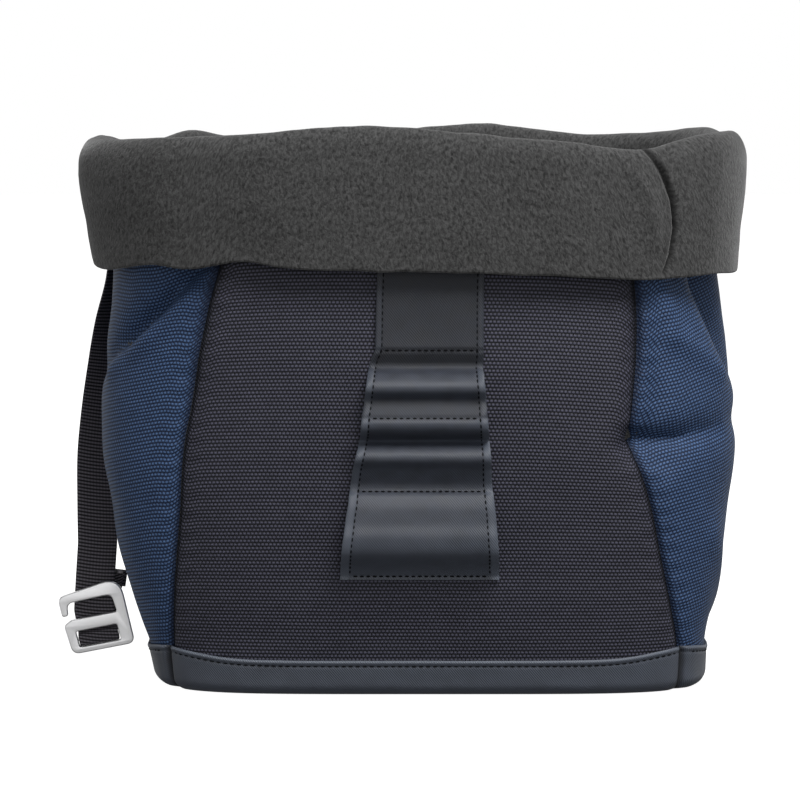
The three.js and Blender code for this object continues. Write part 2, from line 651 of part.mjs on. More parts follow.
const windowLeft = -hookWidth / 2 + leftLeg;
const windowRight = hookWidth / 2 - legWidth;
const windowMiddle = (windowLeft + windowRight) / 2;

// Plate of the hook, upright in its own frame with its back face on the frame's plane
async function hookGeometry() {
  const left = -hookWidth / 2;
  const right = hookWidth / 2;
  const slotFoot = windowHalf + midBar;
  const slotTop = slotFoot + slotHeight;
  const slotRight = right - legWidth;
  const lipFoot = slotFoot + lipFall;
  const outline = roundedPath(new THREE.Shape(), [
    { x: left + footTaper, y: hookFoot, r: footCorner },
    { x: right, y: hookFoot, r: footCorner },
    { x: right - plateTaper, y: slotTop + topBar, r: backCorner },
    { x: left, y: slotTop + tipDrop, r: tipCorner },
    { x: left + plateEase, y: lipFoot, r: smallCorner },
    { x: left + lipWidth - plateEase, y: lipFoot, r: smallCorner },
    { x: left + lipWidth, y: slotTop - plateEase, r: innerCorner },
    { x: slotRight - plateEase, y: slotTop, r: innerCorner },
    { x: slotRight + plateEase, y: slotFoot, r: smallCorner },
    { x: left + lipWidth + plateEase, y: slotFoot, r: smallCorner },
    { x: left + plateEase, y: slotFoot - lipFall, r: smallCorner },
  ]);
  outline.holes.push(roundedPath(new THREE.Path(), [
    { x: windowLeft, y: windowHalf, r: smallCorner },
    { x: windowRight - plateEase, y: windowHalf, r: smallCorner },
    { x: windowRight, y: -windowHalf, r: smallCorner },
    { x: windowLeft + plateEase, y: -windowHalf, r: smallCorner },
  ]));
  const plate = new THREE.ExtrudeGeometry(outline, {
    depth: hookPlate - 2 * hookBevel,
    bevelEnabled: true,
    bevelThickness: hookBevel,
    bevelSize: hookBevel,
    bevelOffset: -hookBevel,
    bevelSegments: 1,
    curveSegments: 4,
  });
  plate.translate(0, 0, hookBevel);
  const bar = new THREE.BoxGeometry(windowRight - windowLeft + legWidth / 2, 2 * barHalf, barThick);
  bar.translate(windowMiddle, 0, barThick / 2 + gap);
  const wasm = await Module();
  wasm.setup();
  const solid = (geometry) => {
    const bare = geometry.clone();
    bare.deleteAttribute("normal");
    bare.deleteAttribute("uv");
    const merged = mergeVertices(bare, 1e-4);
    return new wasm.Manifold(new wasm.Mesh({
      numProp: 3,
      vertProperties: merged.attributes.position.array,
      triVerts: new Uint32Array(merged.index.array),
    }));
  };
  const joined = solid(plate).add(solid(bar)).getMesh();
  const geometry = new THREE.BufferGeometry();
  geometry.setAttribute("position", new THREE.Float32BufferAttribute(joined.vertProperties, 3));
  geometry.setIndex([...joined.triVerts]);
  geometry.rotateX(Math.PI / 2);
  geometry.computeVertexNormals();
  return geometry;
}

// Rows of the webbing in the hook's frame. y: towards the front, v: up, both of the webbing's middle line.
// The webbing comes down behind the plate, goes round the bar through the window and back up as the tail.
function hookRun() {
  const half = strapThick / 2;
  const behind = strapBehind + half;
  const tail = behind + strapThick + gap;
  const wrap = barHalf + gap + half;
  const stations = {
    behind: -behind,
    barBack: gap,
    barFront: gap + barThick,
    front: gap + barThick + gap + half,
    tail: -tail,
  };
  const run = [
    { y: -behind, v: windowHalf + midBar + footCorner, lean: 0 },
    { y: -behind, v: windowHalf + half + gap, lean: 0 },
  ];
  for (const row of WRAP) {
    run.push({
      y: stations[row.station] * row.share,
      v: row.side * wrap + row.slack * strapThick,
      lean: row.lean,
    });
  }
  const sewn = WRAP[WRAP.length - 1].lean;
  for (const share of TAIL_ROWS) {
    const lean = THREE.MathUtils.lerp(sewn, 1, share);
    run.push({ y: -tail - tailKick * share, v: wrap + tailLength * share, lean });
  }
  return run;
}

// Level row of the webbing where it is sewn flat to the wall
function sewnRow(z) {
  const at = (turn) => wallPoint(turn, z, strapSeat + strapThick / 2);
  const reach = strapWidth / 2 / halfWidth;
  const across = at(strapTurn - reach).sub(at(strapTurn + reach)).normalize();
  return { middle: at(strapTurn), across };
}

// Level row of the webbing where it hangs
function hangingRow(share) {
  const twist = radians(strapTwistAt(share));
  const x = halfWidth * strapOutAt(share);
  const y = halfDepth * strapBackAt(share);
  return {
    middle: new THREE.Vector3(x, y, wallHeight * share),
    across: new THREE.Vector3(Math.cos(twist), Math.sin(twist), 0),
  };
}

// The strap is lofted through rows of its four corners
function strapPiece() {
  const sewnFoot = STRAP[0].height;
  const freed = STRAP[1].height;
  const foot = STRAP[STRAP.length - 1].height;
  const middles = [];
  const widths = [];
  for (let i = 0; i <= strapRows; i += 1) {
    const share = THREE.MathUtils.lerp(sewnTop, foot, i / strapRows);
    const sewn = THREE.MathUtils.smoothstep(share, freed, sewnFoot);
    const held = sewnRow(wallHeight * share);
    const loose = hangingRow(share);
    middles.push(loose.middle.lerp(held.middle, sewn));
    widths.push(loose.across.lerp(held.across, sewn).normalize());
  }
  hookFrame.updateMatrixWorld();
  for (const row of hookRun()) {
    const lean = tailLean * row.lean;
    const across = new THREE.Vector3(Math.cos(lean), 0, -Math.sin(lean));
    const shift = (Math.sin(lean) * Math.max(0, row.v)) / 2;
    const point = new THREE.Vector3(windowMiddle + shift, -row.y, row.v);
    middles.push(point.applyMatrix4(hookFrame.matrixWorld));
    widths.push(across.transformDirection(hookFrame.matrixWorld));
  }
  const face = (side) => middles.map((middle, i) => {
    const before = middles[Math.max(0, i - 1)];
    const after = middles[Math.min(middles.length - 1, i + 1)];
    const along = after.clone().sub(before).normalize();
    const normal = new THREE.Vector3().crossVectors(along, widths[i]).normalize();
    return [-1, 1].map((edge) => middle.clone()
      .addScaledVector(widths[i], (edge * strapWidth) / 2)
      .addScaledVector(normal, (side * strapThick) / 2));
  });
  return piece("strap", sheetSolid(face(1), face(-1)), finishes.webbing);
}

const bag = new THREE.Group();
for (const panel of PANELS) {
  bag.add(wallPanel(panel));
  bag.add(bandPanel(panel));
}
bag.add(basePanel());
bag.add(fleeceLining());
bag.add(closureLadder());
bag.add(strapPiece());
hookFrame.add(piece("g_hook", await hookGeometry(), finishes.metal));
bag.add(hookFrame);

export default bag;
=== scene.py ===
"""A climbing chalk bag with a fleece cuff, standing open on its base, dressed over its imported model.

Lengths are worked in millimetres and turned to metres when a mesh is made. X is to the bag's right as seen
from the front, the front faces -Y, Z is up, and the origin is the middle of the base on the floor.
"""

import logging
import math
from dataclasses import dataclass, field
from enum import Enum
from functools import partial
from typing import ClassVar

import bmesh
import bpy
import numpy as np
from mathutils import Matrix, Vector

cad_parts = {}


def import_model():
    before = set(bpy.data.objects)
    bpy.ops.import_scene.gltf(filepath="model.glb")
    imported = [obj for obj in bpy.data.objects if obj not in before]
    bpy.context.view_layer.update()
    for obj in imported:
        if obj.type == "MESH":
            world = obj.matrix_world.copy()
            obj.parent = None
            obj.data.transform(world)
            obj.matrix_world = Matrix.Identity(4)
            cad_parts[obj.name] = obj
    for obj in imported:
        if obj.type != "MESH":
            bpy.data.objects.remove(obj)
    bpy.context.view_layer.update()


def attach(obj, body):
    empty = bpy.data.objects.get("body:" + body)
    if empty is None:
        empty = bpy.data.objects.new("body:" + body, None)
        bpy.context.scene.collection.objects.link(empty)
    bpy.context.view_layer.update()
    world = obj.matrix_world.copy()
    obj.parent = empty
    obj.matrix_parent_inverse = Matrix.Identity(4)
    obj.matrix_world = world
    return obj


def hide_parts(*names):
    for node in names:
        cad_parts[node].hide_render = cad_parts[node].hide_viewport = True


LOG = logging.getLogger("chalk_bag")
MM = 0.001
CLOTH_UV = "cloth"
# Vertex attribute that the finishes mix in: painted shade beside seams, in creases and recesses, painted
# highlights, and on the coat also paler tone.
PAINTED_LIGHT_TONE = "painted_light_tone"

# Sockets of a Mix node that blends colours: the share, the two colours and the blend of them.
SHARE, FIRST, SECOND, BLEND = 0, 6, 7, 2

# Columns of points beside a seam, as shares of the way across a panel.
SEAM_COLUMNS = np.array([0.0, 0.0015, 0.004, 0.007, 0.011, 0.016])

# Level sections of the woven wall. Columns: height as a share of the wall's height, width and depth as
# shares of their halves, exponent of the rounded rectangle, then sideways shift and where the front left,
# front right and back seams stand, all as shares of the half width.
SECTIONS = np.array([
    (0, 0.856, 0.863, 5, 0.017, 0.78, 0.78, 0.78),
    (0.08, 0.875, 0.893, 4.7, 0.005, 0.787, 0.783, 0.777),
    (0.18, 0.921, 0.93, 4.3, -0.006, 0.78, 0.752, 0.762),
    (0.27, 0.955, 0.957, 4, -0.015, 0.767, 0.719, 0.747),
    (0.36, 0.974, 0.98, 3.8, -0.018, 0.753, 0.688, 0.732),
    (0.44, 0.995, 0.995, 3.6, -0.02, 0.745, 0.651, 0.717),
    (0.5, 1, 1, 3.5, -0.019, 0.734, 0.624, 0.704),
    (0.56, 0.999, 1, 3.4, -0.021, 0.715, 0.628, 0.69),
    (0.65, 0.986, 0.995, 3.3, -0.024, 0.691, 0.64, 0.668),
    (0.75, 0.962, 0.985, 3.2, -0.026, 0.658, 0.637, 0.646),
    (0.84, 0.951, 0.975, 3.1, -0.033, 0.626, 0.626, 0.626),
    (1, 0.977, 0.968, 3, -0.042, 0.616, 0.616, 0.616),
])

# Dents and ridges of the walls and of the cuff, each a path of (turn in degrees, share of the height, depth
# as a share of the deepest fold, reach as a share of the usual one).
WALL_FOLDS = {
    "right tuck": [(-20, 1, -0.5, 1.5), (-19, 0.8, -1.75, 1.5), (-15, 0.7, -1.5, 1.4), (-8, 0.62, -0.7, 1.2),
                   (-3, 0.56, -0.1, 1)],
    "right lobe edge": [(-35, 0.82, 0.25, 0.6), (-33, 0.7, 0.3, 0.6), (-22, 0.62, 0.2, 0.6)],
    "right pinch": [(-42, 0.49, -0.5, 0.7), (-30, 0.505, -0.35, 0.8), (-10, 0.525, -0.25, 0.8),
                    (8, 0.53, -0.05, 0.8)],
    "right dent": [(-39, 0.465, -0.25, 0.6), (-36, 0.455, -0.25, 0.6)],
    "right lower ridge": [(-24, 0.3, 0.15, 0.8), (-10, 0.15, 0.2, 0.8)],
    "left front crease": [(-142, 0.83, -0.5, 0.9), (-150, 0.74, -0.45, 0.8), (-157, 0.68, -0.4, 0.8),
                          (-168, 0.63, -0.25, 0.8), (-177, 0.61, -0.05, 0.8)],
    "left seam ridge": [(-137, 0.8, 0.22, 0.7), (-140, 0.66, 0.12, 0.7)],
    "left crease line": [(-141, 0.83, -0.35, 0.35), (-149, 0.745, -0.5, 0.35), (-156, 0.685, -0.45, 0.35),
                         (-167, 0.63, -0.2, 0.35), (-176, 0.61, -0.05, 0.35)],
    "left crease lower lip": [(-143, 0.77, 0.25, 0.6), (-151, 0.69, 0.34, 0.6), (-161, 0.625, 0.2, 0.6)],
    "right seam hollow": [(-38.5, 0.68, -0.12, 0.7), (-38.5, 0.58, -0.3, 0.7), (-40, 0.51, -0.4, 0.5)],
    "right pinch line": [(-42, 0.5, -0.35, 0.3), (-34, 0.497, -0.3, 0.3), (-24, 0.51, -0.12, 0.4)],
    "left tuck behind the strap": [(167, 1, -0.2, 1.6), (166, 0.8, -0.8, 1.6), (166, 0.5, -0.85, 1.5),
                                   (166, 0.36, -0.1, 1.4)],
}
CUFF_FOLDS = {
    "right crease": [(-39, 1, -0.3, 0.5), (-34.3, 0.9, -0.12, 0.4), (-34.3, 0.83, -0.1, 0.4),
                     (-36.5, 0.75, -0.1, 0.4)],
    "right crease line": [(-39.5, 1, -0.4, 0.14), (-37, 0.965, -0.5, 0.12), (-34.7, 0.925, -0.6, 0.11),
                          (-33.4, 0.88, -0.7, 0.11), (-33, 0.83, -0.7, 0.11), (-33.9, 0.78, -0.5, 0.11),
                          (-35.3, 0.75, -0.3, 0.11)],
    "right crease near side": [(-41.5, 0.95, 0.2, 0.4), (-37.3, 0.88, 0.3, 0.3), (-36.6, 0.8, 0.15, 0.3)],
    "right lobe": [(-24, 0.99, 0.2, 1), (-25, 0.9, 0.2, 0.9), (-26, 0.8, 0.1, 0.9)],
    "left hollow": [(-141, 0.98, -0.15, 1.6), (-143, 0.76, 0.15, 1.2)],
    "left front wave": [(-132, 0.98, 0.1, 1.4), (-132, 0.76, -0.4, 1.2)],
}

# Mouth and hem round the bag: turn in degrees, share of the rim's height and of the hem's height.
EDGES = np.array([
    (-170, 0.985, 1.005), (-158, 0.985, 0.997), (-148, 0.986, 1.014), (-142, 0.987, 1.003),
    (-132, 0.991, 1.021), (-124, 0.996, 1.007), (-108, 1.007, 1.002), (-86, 1.001, 1),
    (-64, 0.988, 0.992), (-50, 0.979, 0.987), (-38, 0.967, 0.98), (-27, 0.992, 0.988), (-14, 1, 0.987),
    (2, 0.986, 1.008), (16, 1.006, 1), (40, 0.995, 1.006), (66, 1.016, 0.998), (100, 1.002, 1.004),
    (128, 0.991, 0.997), (139, 0.994, 1), (146, 1.003, 1.004), (152, 0.986, 1.006), (158, 0.982, 1.008),
    (168, 0.992, 1.014), (179, 0.99, 1.022),
])

# The ladder strip: share of the wall's height, left and right edges as shares of its half width, and how far
# it stands off the wall as a share of the furthest that it does.
LADDER = np.array([
    (0.87, -0.92, 1.06, 0), (0.82, -0.92, 1.06, 0.01), (0.75, -0.94, 1.05, 0.05),
    (0.69, -0.95, 1.05, 0.09), (0.672, -0.96, 1.05, 0.13), (0.655, -1.03, 1.05, 0.07),
    (0.64, -1.07, 1.04, 0), (0.628, -1.09, 1.05, 0.4), (0.612, -1.11, 1.06, 0.78),
    (0.597, -1.13, 1.08, 0.84), (0.582, -1.15, 1.09, 0.67), (0.571, -1.16, 1.1, 0.64),
    (0.553, -1.19, 1.11, 0.78), (0.534, -1.21, 1.13, 0.92), (0.521, -1.22, 1.14, 0.78),
    (0.51, -1.23, 1.15, 0.36), (0.501, -1.25, 1.16, 0), (0.49, -1.27, 1.17, 0.36),
    (0.477, -1.3, 1.18, 0.66), (0.465, -1.33, 1.19, 0.7), (0.447, -1.37, 1.2, 0.42),
    (0.426, -1.4, 1.21, 0.08), (0.411, -1.42, 1.22, 0), (0.396, -1.44, 1.24, 0.3),
    (0.376, -1.46, 1.26, 0.55), (0.359, -1.49, 1.28, 0.66), (0.343, -1.51, 1.29, 0.76),
    (0.32, -1.54, 1.31, 0.98), (0.306, -1.56, 1.32, 1), (0.296, -1.57, 1.33, 0.97),
    (0.286, -1.58, 1.34, 0.88), (0.274, -1.59, 1.345, 0.62), (0.264, -1.6, 1.35, 0.36),
    (0.254, -1.605, 1.355, 0.15), (0.247, -1.61, 1.36, 0.04), (0.241, -1.61, 1.36, 0),
    (0.232, -1.62, 1.36, 0),
])

# The ladder's painted light: share of the wall's height, and how far the coat is painted lighter as
# highlights on the loops (above 0) or painted darker as shade in the recesses and under the cuff (below 0).
LADDER_PAINTED_LIGHT = np.array([
    (0.232, 0.25), (0.3, 0.3), (0.33, 0.12), (0.54, 0.12), (0.55, -0.25), (0.572, -0.35), (0.585, 0.1),
    (0.61, 0.14), (0.632, 0), (0.645, -0.6), (0.668, -0.6), (0.68, -0.45), (0.87, -0.55),
])

# The hanging webbing: share of the wall's height, out and back from the middle as shares of the half width
# and half depth, and degrees between its face and the front.
STRAP = np.array([
    (0.9, -1.01, 0.16, 84), (0.8, -1.001, 0.17, 73), (0.7, -1.031, 0.215, 60), (0.6, -1.05, 0.28, 42),
    (0.5, -1.067, 0.31, 29), (0.42, -1.076, 0.305, 23), (0.32, -1.073, 0.26, 18),
    (0.24, -1.068, 0.215, 13),
])


class Side(Enum):
    """The four sides of the bag, each by the number of the seam that it starts at."""

    FRONT = 0
    RIGHT = 1
    BACK = 2
    LEFT = 3


class Curve:
    """A smooth curve through one column of a table."""

    def __init__(self, keys: np.ndarray, values: np.ndarray) -> None:
        """Sorts the table by its keys.

        Args:
            keys: where each value stands.
            values: the values that the curve passes through.
        """
        order = np.argsort(keys)
        self.keys = np.asarray(keys, float)[order]
        self.values = np.asarray(values, float)[order]

    def __call__(self, at: np.ndarray | float) -> np.ndarray:
        """Gives the curve's value, held at its ends.

        Args:
            at: one place or many.

        Returns:
            The value at each place.
        """
        keys, values = self.keys, self.values
        at = np.clip(np.asarray(at, float), keys[0], keys[-1])
        after = np.clip(np.searchsorted(keys, at, side="right"), 1, len(keys) - 1)
        before = after - 1
        lead = np.where(before > 0, before - 1, after)
        trail = np.where(after < len(keys) - 1, after + 1, before)
        half = (keys[after] - keys[before]) / 2
        weight_in = half / (keys[before] - keys[lead])
        weight_out = half / (keys[trail] - keys[after])
        p = (at - keys[before]) / (2 * half)
        p2, p3 = p * p, p * p * p
        return (
            (-weight_in * p3 + 2 * weight_in * p2 - weight_in * p) * values[lead]
            + ((1 + weight_in) * p3 - (1.5 + 2 * weight_in) * p2 + (weight_in - 0.5) * p + 1) * values[before]
            + (-(1 + weight_out) * p3 + (1.5 + weight_out) * p2 + 0.5 * p) * values[after]
            + (weight_out * p3 - weight_out * p2) * values[trail]
        )


def smoothstep(at: np.ndarray | float, low: float, high: float) -> np.ndarray:
    """Climbs smoothly from 0 at low to 1 at high."""
    share = np.clip((at - low) / (high - low), 0, 1)
    return share * share * (3 - 2 * share)


def mix(start: np.ndarray | float, end: np.ndarray | float, share: np.ndarray | float) -> np.ndarray:
    """Gives the value that share of the way from start to end."""
    return start + (end - start) * share


def bell(away: np.ndarray | float, reach: np.ndarray | float) -> np.ndarray:
    """Gives a hump that is 1 at 0 and dies away over the reach."""
    return np.exp(-((away / reach) ** 2))


def seam_spread(count: int) -> np.ndarray:
    """Gives a row of shares of the way across a panel, close together beside its seams."""
    return np.concatenate([SEAM_COLUMNS, np.linspace(0.022, 0.978, count), 1 - SEAM_COLUMNS[::-1]])[None]


def slack(across: np.ndarray, up: np.ndarray, length: float, seed: float) -> np.ndarray:
    """Gives uneven soft waves, as in cloth that isn't stretched.

    Args:
        across: distances along the cloth, sideways.
        up: distances along the cloth, upwards.
        length: rough length of a wave, in the same unit.
        seed: shifts the waves, so that two cloths differ.

    Returns:
        The waves' heights, between about -1 and 1.
    """
    total = np.zeros(np.broadcast(across, up).shape)
    for step in range(7):
        heading = seed + step * 2.399
        rate = 2 * math.pi / length * (0.6 + 0.23 * step)
        way = across * math.cos(heading) + up * math.sin(heading)
        total = total + np.sin(rate * way + seed * 7.1 + step * 4.7) / (1 + 0.5 * step)
    return total / 2.6


@dataclass
class BagForm:
    """The shape that all the bag's sewn pieces share, in millimetres.

    Coated sheets and the webbing are drawn thinner than their place by shrink, so no two faces meet.
    """

    half_width: float = 155
    half_depth: float = 95
    wall_height: float = 245
    cloth: float = 1.2
    coated: float = 1.3
    fleece: float = 2.5
    gap: float = 0.3
    seam_gap: float = 0.3
    seam_dip: float = 2.2
    seam_width: float = 4.5
    foot_roll: float = 6
    base_thick: float = 1.6
    band_height: float = 17.5
    band_corner_rise: float = 4.3
    band_corner_reach: float = 24
    rim_height: float = 266
    roll_half: float = 8.3
    roll_rise: float = 9
    roll_fall: float = 13
    roll_draw: float = 1.5
    hem_height: float = 202
    hem_stand: float = 9.6
    cuff_bow: float = 0.9
    fold_depth: float = 10
    fold_width: float = 10
    cuff_fold: float = 5
    shrink: float = 0.1
    columns: dict[str, Curve] = field(default_factory=dict)

    def __post_init__(self) -> None:
        """Makes the curves through the tables and lays the folds on the smooth wall."""
        names = ("wide", "deep", "power", "lean", "left", "right", "rear")
        for number, name in enumerate(names, start=1):
            self.columns[name] = Curve(SECTIONS[:, 0], SECTIONS[:, number])
        turns = np.concatenate([EDGES[:, 0] + shift for shift in (-360, 0, 360)])
        self.rim_share = Curve(turns, np.tile(EDGES[:, 1], 3))
        self.hem_share = Curve(turns, np.tile(EDGES[:, 2], 3))
        heights = SECTIONS[:, 0] * self.wall_height
        self.seam_paths = []
        for seam in range(4):
            path = self.smooth(self.seam_turns(heights)[seam], heights)
            reach = np.full(len(heights), self.seam_width)
            self.seam_paths.append((path, np.full(len(heights), -self.seam_dip), reach))
        self.wall_folds = [self.lay(fold, self.wall_height, self.fold_depth) for fold in WALL_FOLDS.values()]
        self.wall_folds += self.seam_paths
        self.cuff_folds = [self.lay(fold, self.rim_height, self.cuff_fold) for fold in CUFF_FOLDS.values()]
        self.crease_line = self.lay(CUFF_FOLDS["right crease line"], self.rim_height, self.cuff_fold)

    def lay(self, fold: list[tuple], tall: float, unit: float) -> tuple[np.ndarray, np.ndarray, np.ndarray]:
        """Lays a fold's path on the smooth wall.

        Args:
            fold: rows of turn, height share, depth and reach.
            tall: what the height shares are of.
            unit: what the depths are shares of.

        Returns:
            The path's points, depths and reaches.
        """
        rows = np.array(fold, float)
        path = self.smooth(np.radians(rows[:, 0]), rows[:, 1] * tall)
        return path, rows[:, 2] * unit, rows[:, 3] * self.fold_width

    def section(self, z: np.ndarray) -> tuple[np.ndarray, ...]:
        """Gives the level section's half width, half depth, exponent and sideways shift at each height."""
        wide, deep, power, lean = (self.columns[name](z / self.wall_height)
                                   for name in ("wide", "deep", "power", "lean"))
        return self.half_width * wide, self.half_depth * deep, power, self.half_width * lean

    def smooth(self, turn: np.ndarray, z: np.ndarray, out: np.ndarray | float = 0.0) -> np.ndarray:
        """Gives points of the wall before its folds.

        Args:
            turn: angles about the upright axis, in radians.
            z: heights.
            out: how far the points stand out from the wall.

        Returns:
            One point for each turn.
        """
        turn, z, out = np.broadcast_arrays(np.asarray(turn, float), z, out)
        a, b, n, lean = self.section(z)
        c, s = np.cos(turn), np.sin(turn)
        radius = ((np.abs(c) / a) ** n + (np.abs(s) / b) ** n) ** (-1 / n)
        nx = np.sign(c) * np.abs(c / a) ** (n - 1) / a
        ny = np.sign(s) * np.abs(s / b) ** (n - 1) / b
        length = np.hypot(nx, ny)
        return np.stack([lean + radius * c + nx / length * out, radius * s + ny / length * out, z], axis=-1)

    def turn_at(self, x: np.ndarray, z: np.ndarray, facing: int) -> np.ndarray:
        """Gives the turn at which the front (-1) or back (1) wall passes a distance from the middle."""
        a, b, n, lean = self.section(z)
        along = x - lean
        return np.arctan2(facing * b * (1 - np.minimum(1, np.abs(along / a) ** n)) ** (1 / n), along)

    def seam_turns(self, z: np.ndarray | float) -> list[np.ndarray]:
        """Gives the turns of the four seams, and of the first one again after a full round."""
        z = np.asarray(z, float)
        left, right, rear = (self.half_width * self.columns[name](z / self.wall_height)
                             for name in ("left", "right", "rear"))
        corners = ((-left, -1), (right, -1), (rear, 1), (-rear, 1))
        turns = [self.turn_at(x, z, facing) for x, facing in corners]
        return turns + [turns[0] + 2 * math.pi]

    def push(self, folds: list[tuple], at: np.ndarray) -> np.ndarray:
        """Gives how far a set of folds pushes points of the smooth wall in or out.

        Args:
            folds: laid folds.
            at: points of the smooth wall.

        Returns:
            A length for each point.
        """
        total = np.zeros(at.shape[:-1])
        for path, depth, reach in folds:
            best = np.zeros(at.shape[:-1])
            for i in range(len(path) - 1):
                way = path[i + 1] - path[i]
                along = np.clip((at - path[i]) @ way / (way @ way), 0, 1)
                away = np.linalg.norm(at - path[i] - along[..., None] * way, axis=-1)
                here = mix(depth[i], depth[i + 1], along) * bell(away, mix(reach[i], reach[i + 1], along))
                best = np.where(np.abs(here) > np.abs(best), here, best)
            total += best
        return total

    def roll_in(self, z: np.ndarray | float) -> np.ndarray:
        """Gives how far the wall rolls in under the base at a height."""
        left = np.maximum(0, self.foot_roll - np.asarray(z, float))
        return self.foot_roll - np.sqrt(self.foot_roll**2 - left**2)

    def wall(self, turn: np.ndarray, z: np.ndarray, out: np.ndarray | float) -> np.ndarray:
        """Gives points of a layer of the wall, folds and all."""
        calm = 1 - smoothstep(z, self.hem_height, self.wall_height)
        pushed = calm * self.push(self.wall_folds, self.smooth(turn, z))
        return self.smooth(turn, z, out + pushed - self.roll_in(z))

    def cuff(self, turn: np.ndarray, z: np.ndarray, out: np.ndarray | float) -> np.ndarray:
        """Gives points of the cuff, which hangs straight over the wall's folds."""
        pushed = self.push(self.cuff_folds, self.smooth(turn, z))
        hang = smoothstep(out, -self.roll_half / 2, self.roll_half)
        made = self.smooth(turn, np.minimum(z, self.wall_height), out + pushed * hang)
        made[..., 2] = z
        return made

    def panel_turns(self, side: Side, z: np.ndarray, spread: np.ndarray) -> np.ndarray:
        """Gives the turns of a panel's columns, short of its seams by half the slit.

        Args:
            side: which panel.
            z: the heights of its rows, as a column.
            spread: where the columns stand, from 0 at its first seam to 1 at its second.

        Returns:
            A turn for each row and column.
        """
        seams = self.seam_turns(z)
        start, end = seams[side.value], seams[side.value + 1]
        slit = self.seam_gap / 2 / np.linalg.norm(self.smooth(start, z), axis=-1) / 1.2
        return mix(start + slit, end - slit, spread)

    def band_top(self, turn: np.ndarray) -> np.ndarray:
        """Gives the height of the foot band's top edge, which climbs towards each corner seam."""
        at = self.smooth(turn, np.full(np.shape(turn), self.band_height))
        nearest = np.full(np.shape(turn), 1e9)
        for path, _, _ in self.seam_paths:
            nearest = np.minimum(nearest, np.hypot(at[..., 0] - path[1][0], at[..., 1] - path[1][1]))
        return self.band_height + self.band_corner_rise * bell(nearest, self.band_corner_reach)


def linear(hex_colour: str) -> tuple[float, float, float, float]:
    """Turns an sRGB hex colour to linear light."""
    parts = [int(hex_colour[i:i + 2], 16) / 255 for i in (1, 3, 5)]
    return (*[p / 12.92 if p <= 0.04045 else ((p + 0.055) / 1.055) ** 2.4 for p in parts], 1.0)


def add_node(tree: bpy.types.NodeTree, kind: str, inputs: dict | tuple = (),
             **settings: object) -> bpy.types.Node:
    """Adds a node with its settings, values and links.

    Args:
        tree: where it goes.
        kind: the node's type, less its first word.
        inputs: numbers, hex colours, sockets, or nodes that stand for their first output. They go in order,
            or by the name or number of the input.
        settings: properties of the node.

    Returns:
        The new node.
    """
    made = tree.nodes.new(f"ShaderNode{kind}")
    for name, value in settings.items():
        setattr(made, name, value)
    named = inputs if isinstance(inputs, dict) else dict(enumerate(inputs))
    for name, value in named.items():
        if isinstance(value, bpy.types.Node):
            value = value.outputs[0]
        if isinstance(value, bpy.types.NodeSocket):
            tree.links.new(value, made.inputs[name])
        else:
            made.inputs[name].default_value = linear(value) if isinstance(value, str) else value
    return made


@dataclass(frozen=True)
class Finish:
    """What all finishes share: a name and a Principled surface."""

    name: str

    def material(self) -> bpy.types.Material:
        """Makes the material round the inputs that the finish gives its surface."""
        made = bpy.data.materials.new(self.name)
        made.use_nodes = True
        tree = made.node_tree
        tree.nodes.clear()
        surface = add_node(tree, "BsdfPrincipled", self.surface(tree))
        add_node(tree, "OutputMaterial", {"Surface": surface})
        return made

    def surface(self, tree: bpy.types.NodeTree) -> dict[str, object]:
        """Adds the finish's own nodes and gives the inputs of its Principled surface."""
        raise NotImplementedError

    def cloth_place(self, tree: bpy.types.NodeTree, across: float, along: float) -> bpy.types.Node:
        """Gives the piece's own cloth map, counted in steps of so many millimetres across and along."""
        uv = add_node(tree, "UVMap", uv_map=CLOTH_UV)
        return add_node(tree, "Mapping", {"Vector": uv, "Scale": (1 / (across * MM), 1 / (along * MM), 1.0)})

    def rib(self, tree: bpy.types.NodeTree, place: object) -> bpy.types.Node:
        """Gives a half wave over each step of a place, from 0 up to 1 and back."""
        phase = add_node(tree, "Math", (place,), operation="FRACT")
        angle = add_node(tree, "Math", (phase, math.pi), operation="MULTIPLY")
        return add_node(tree, "Math", (angle,), operation="SINE")


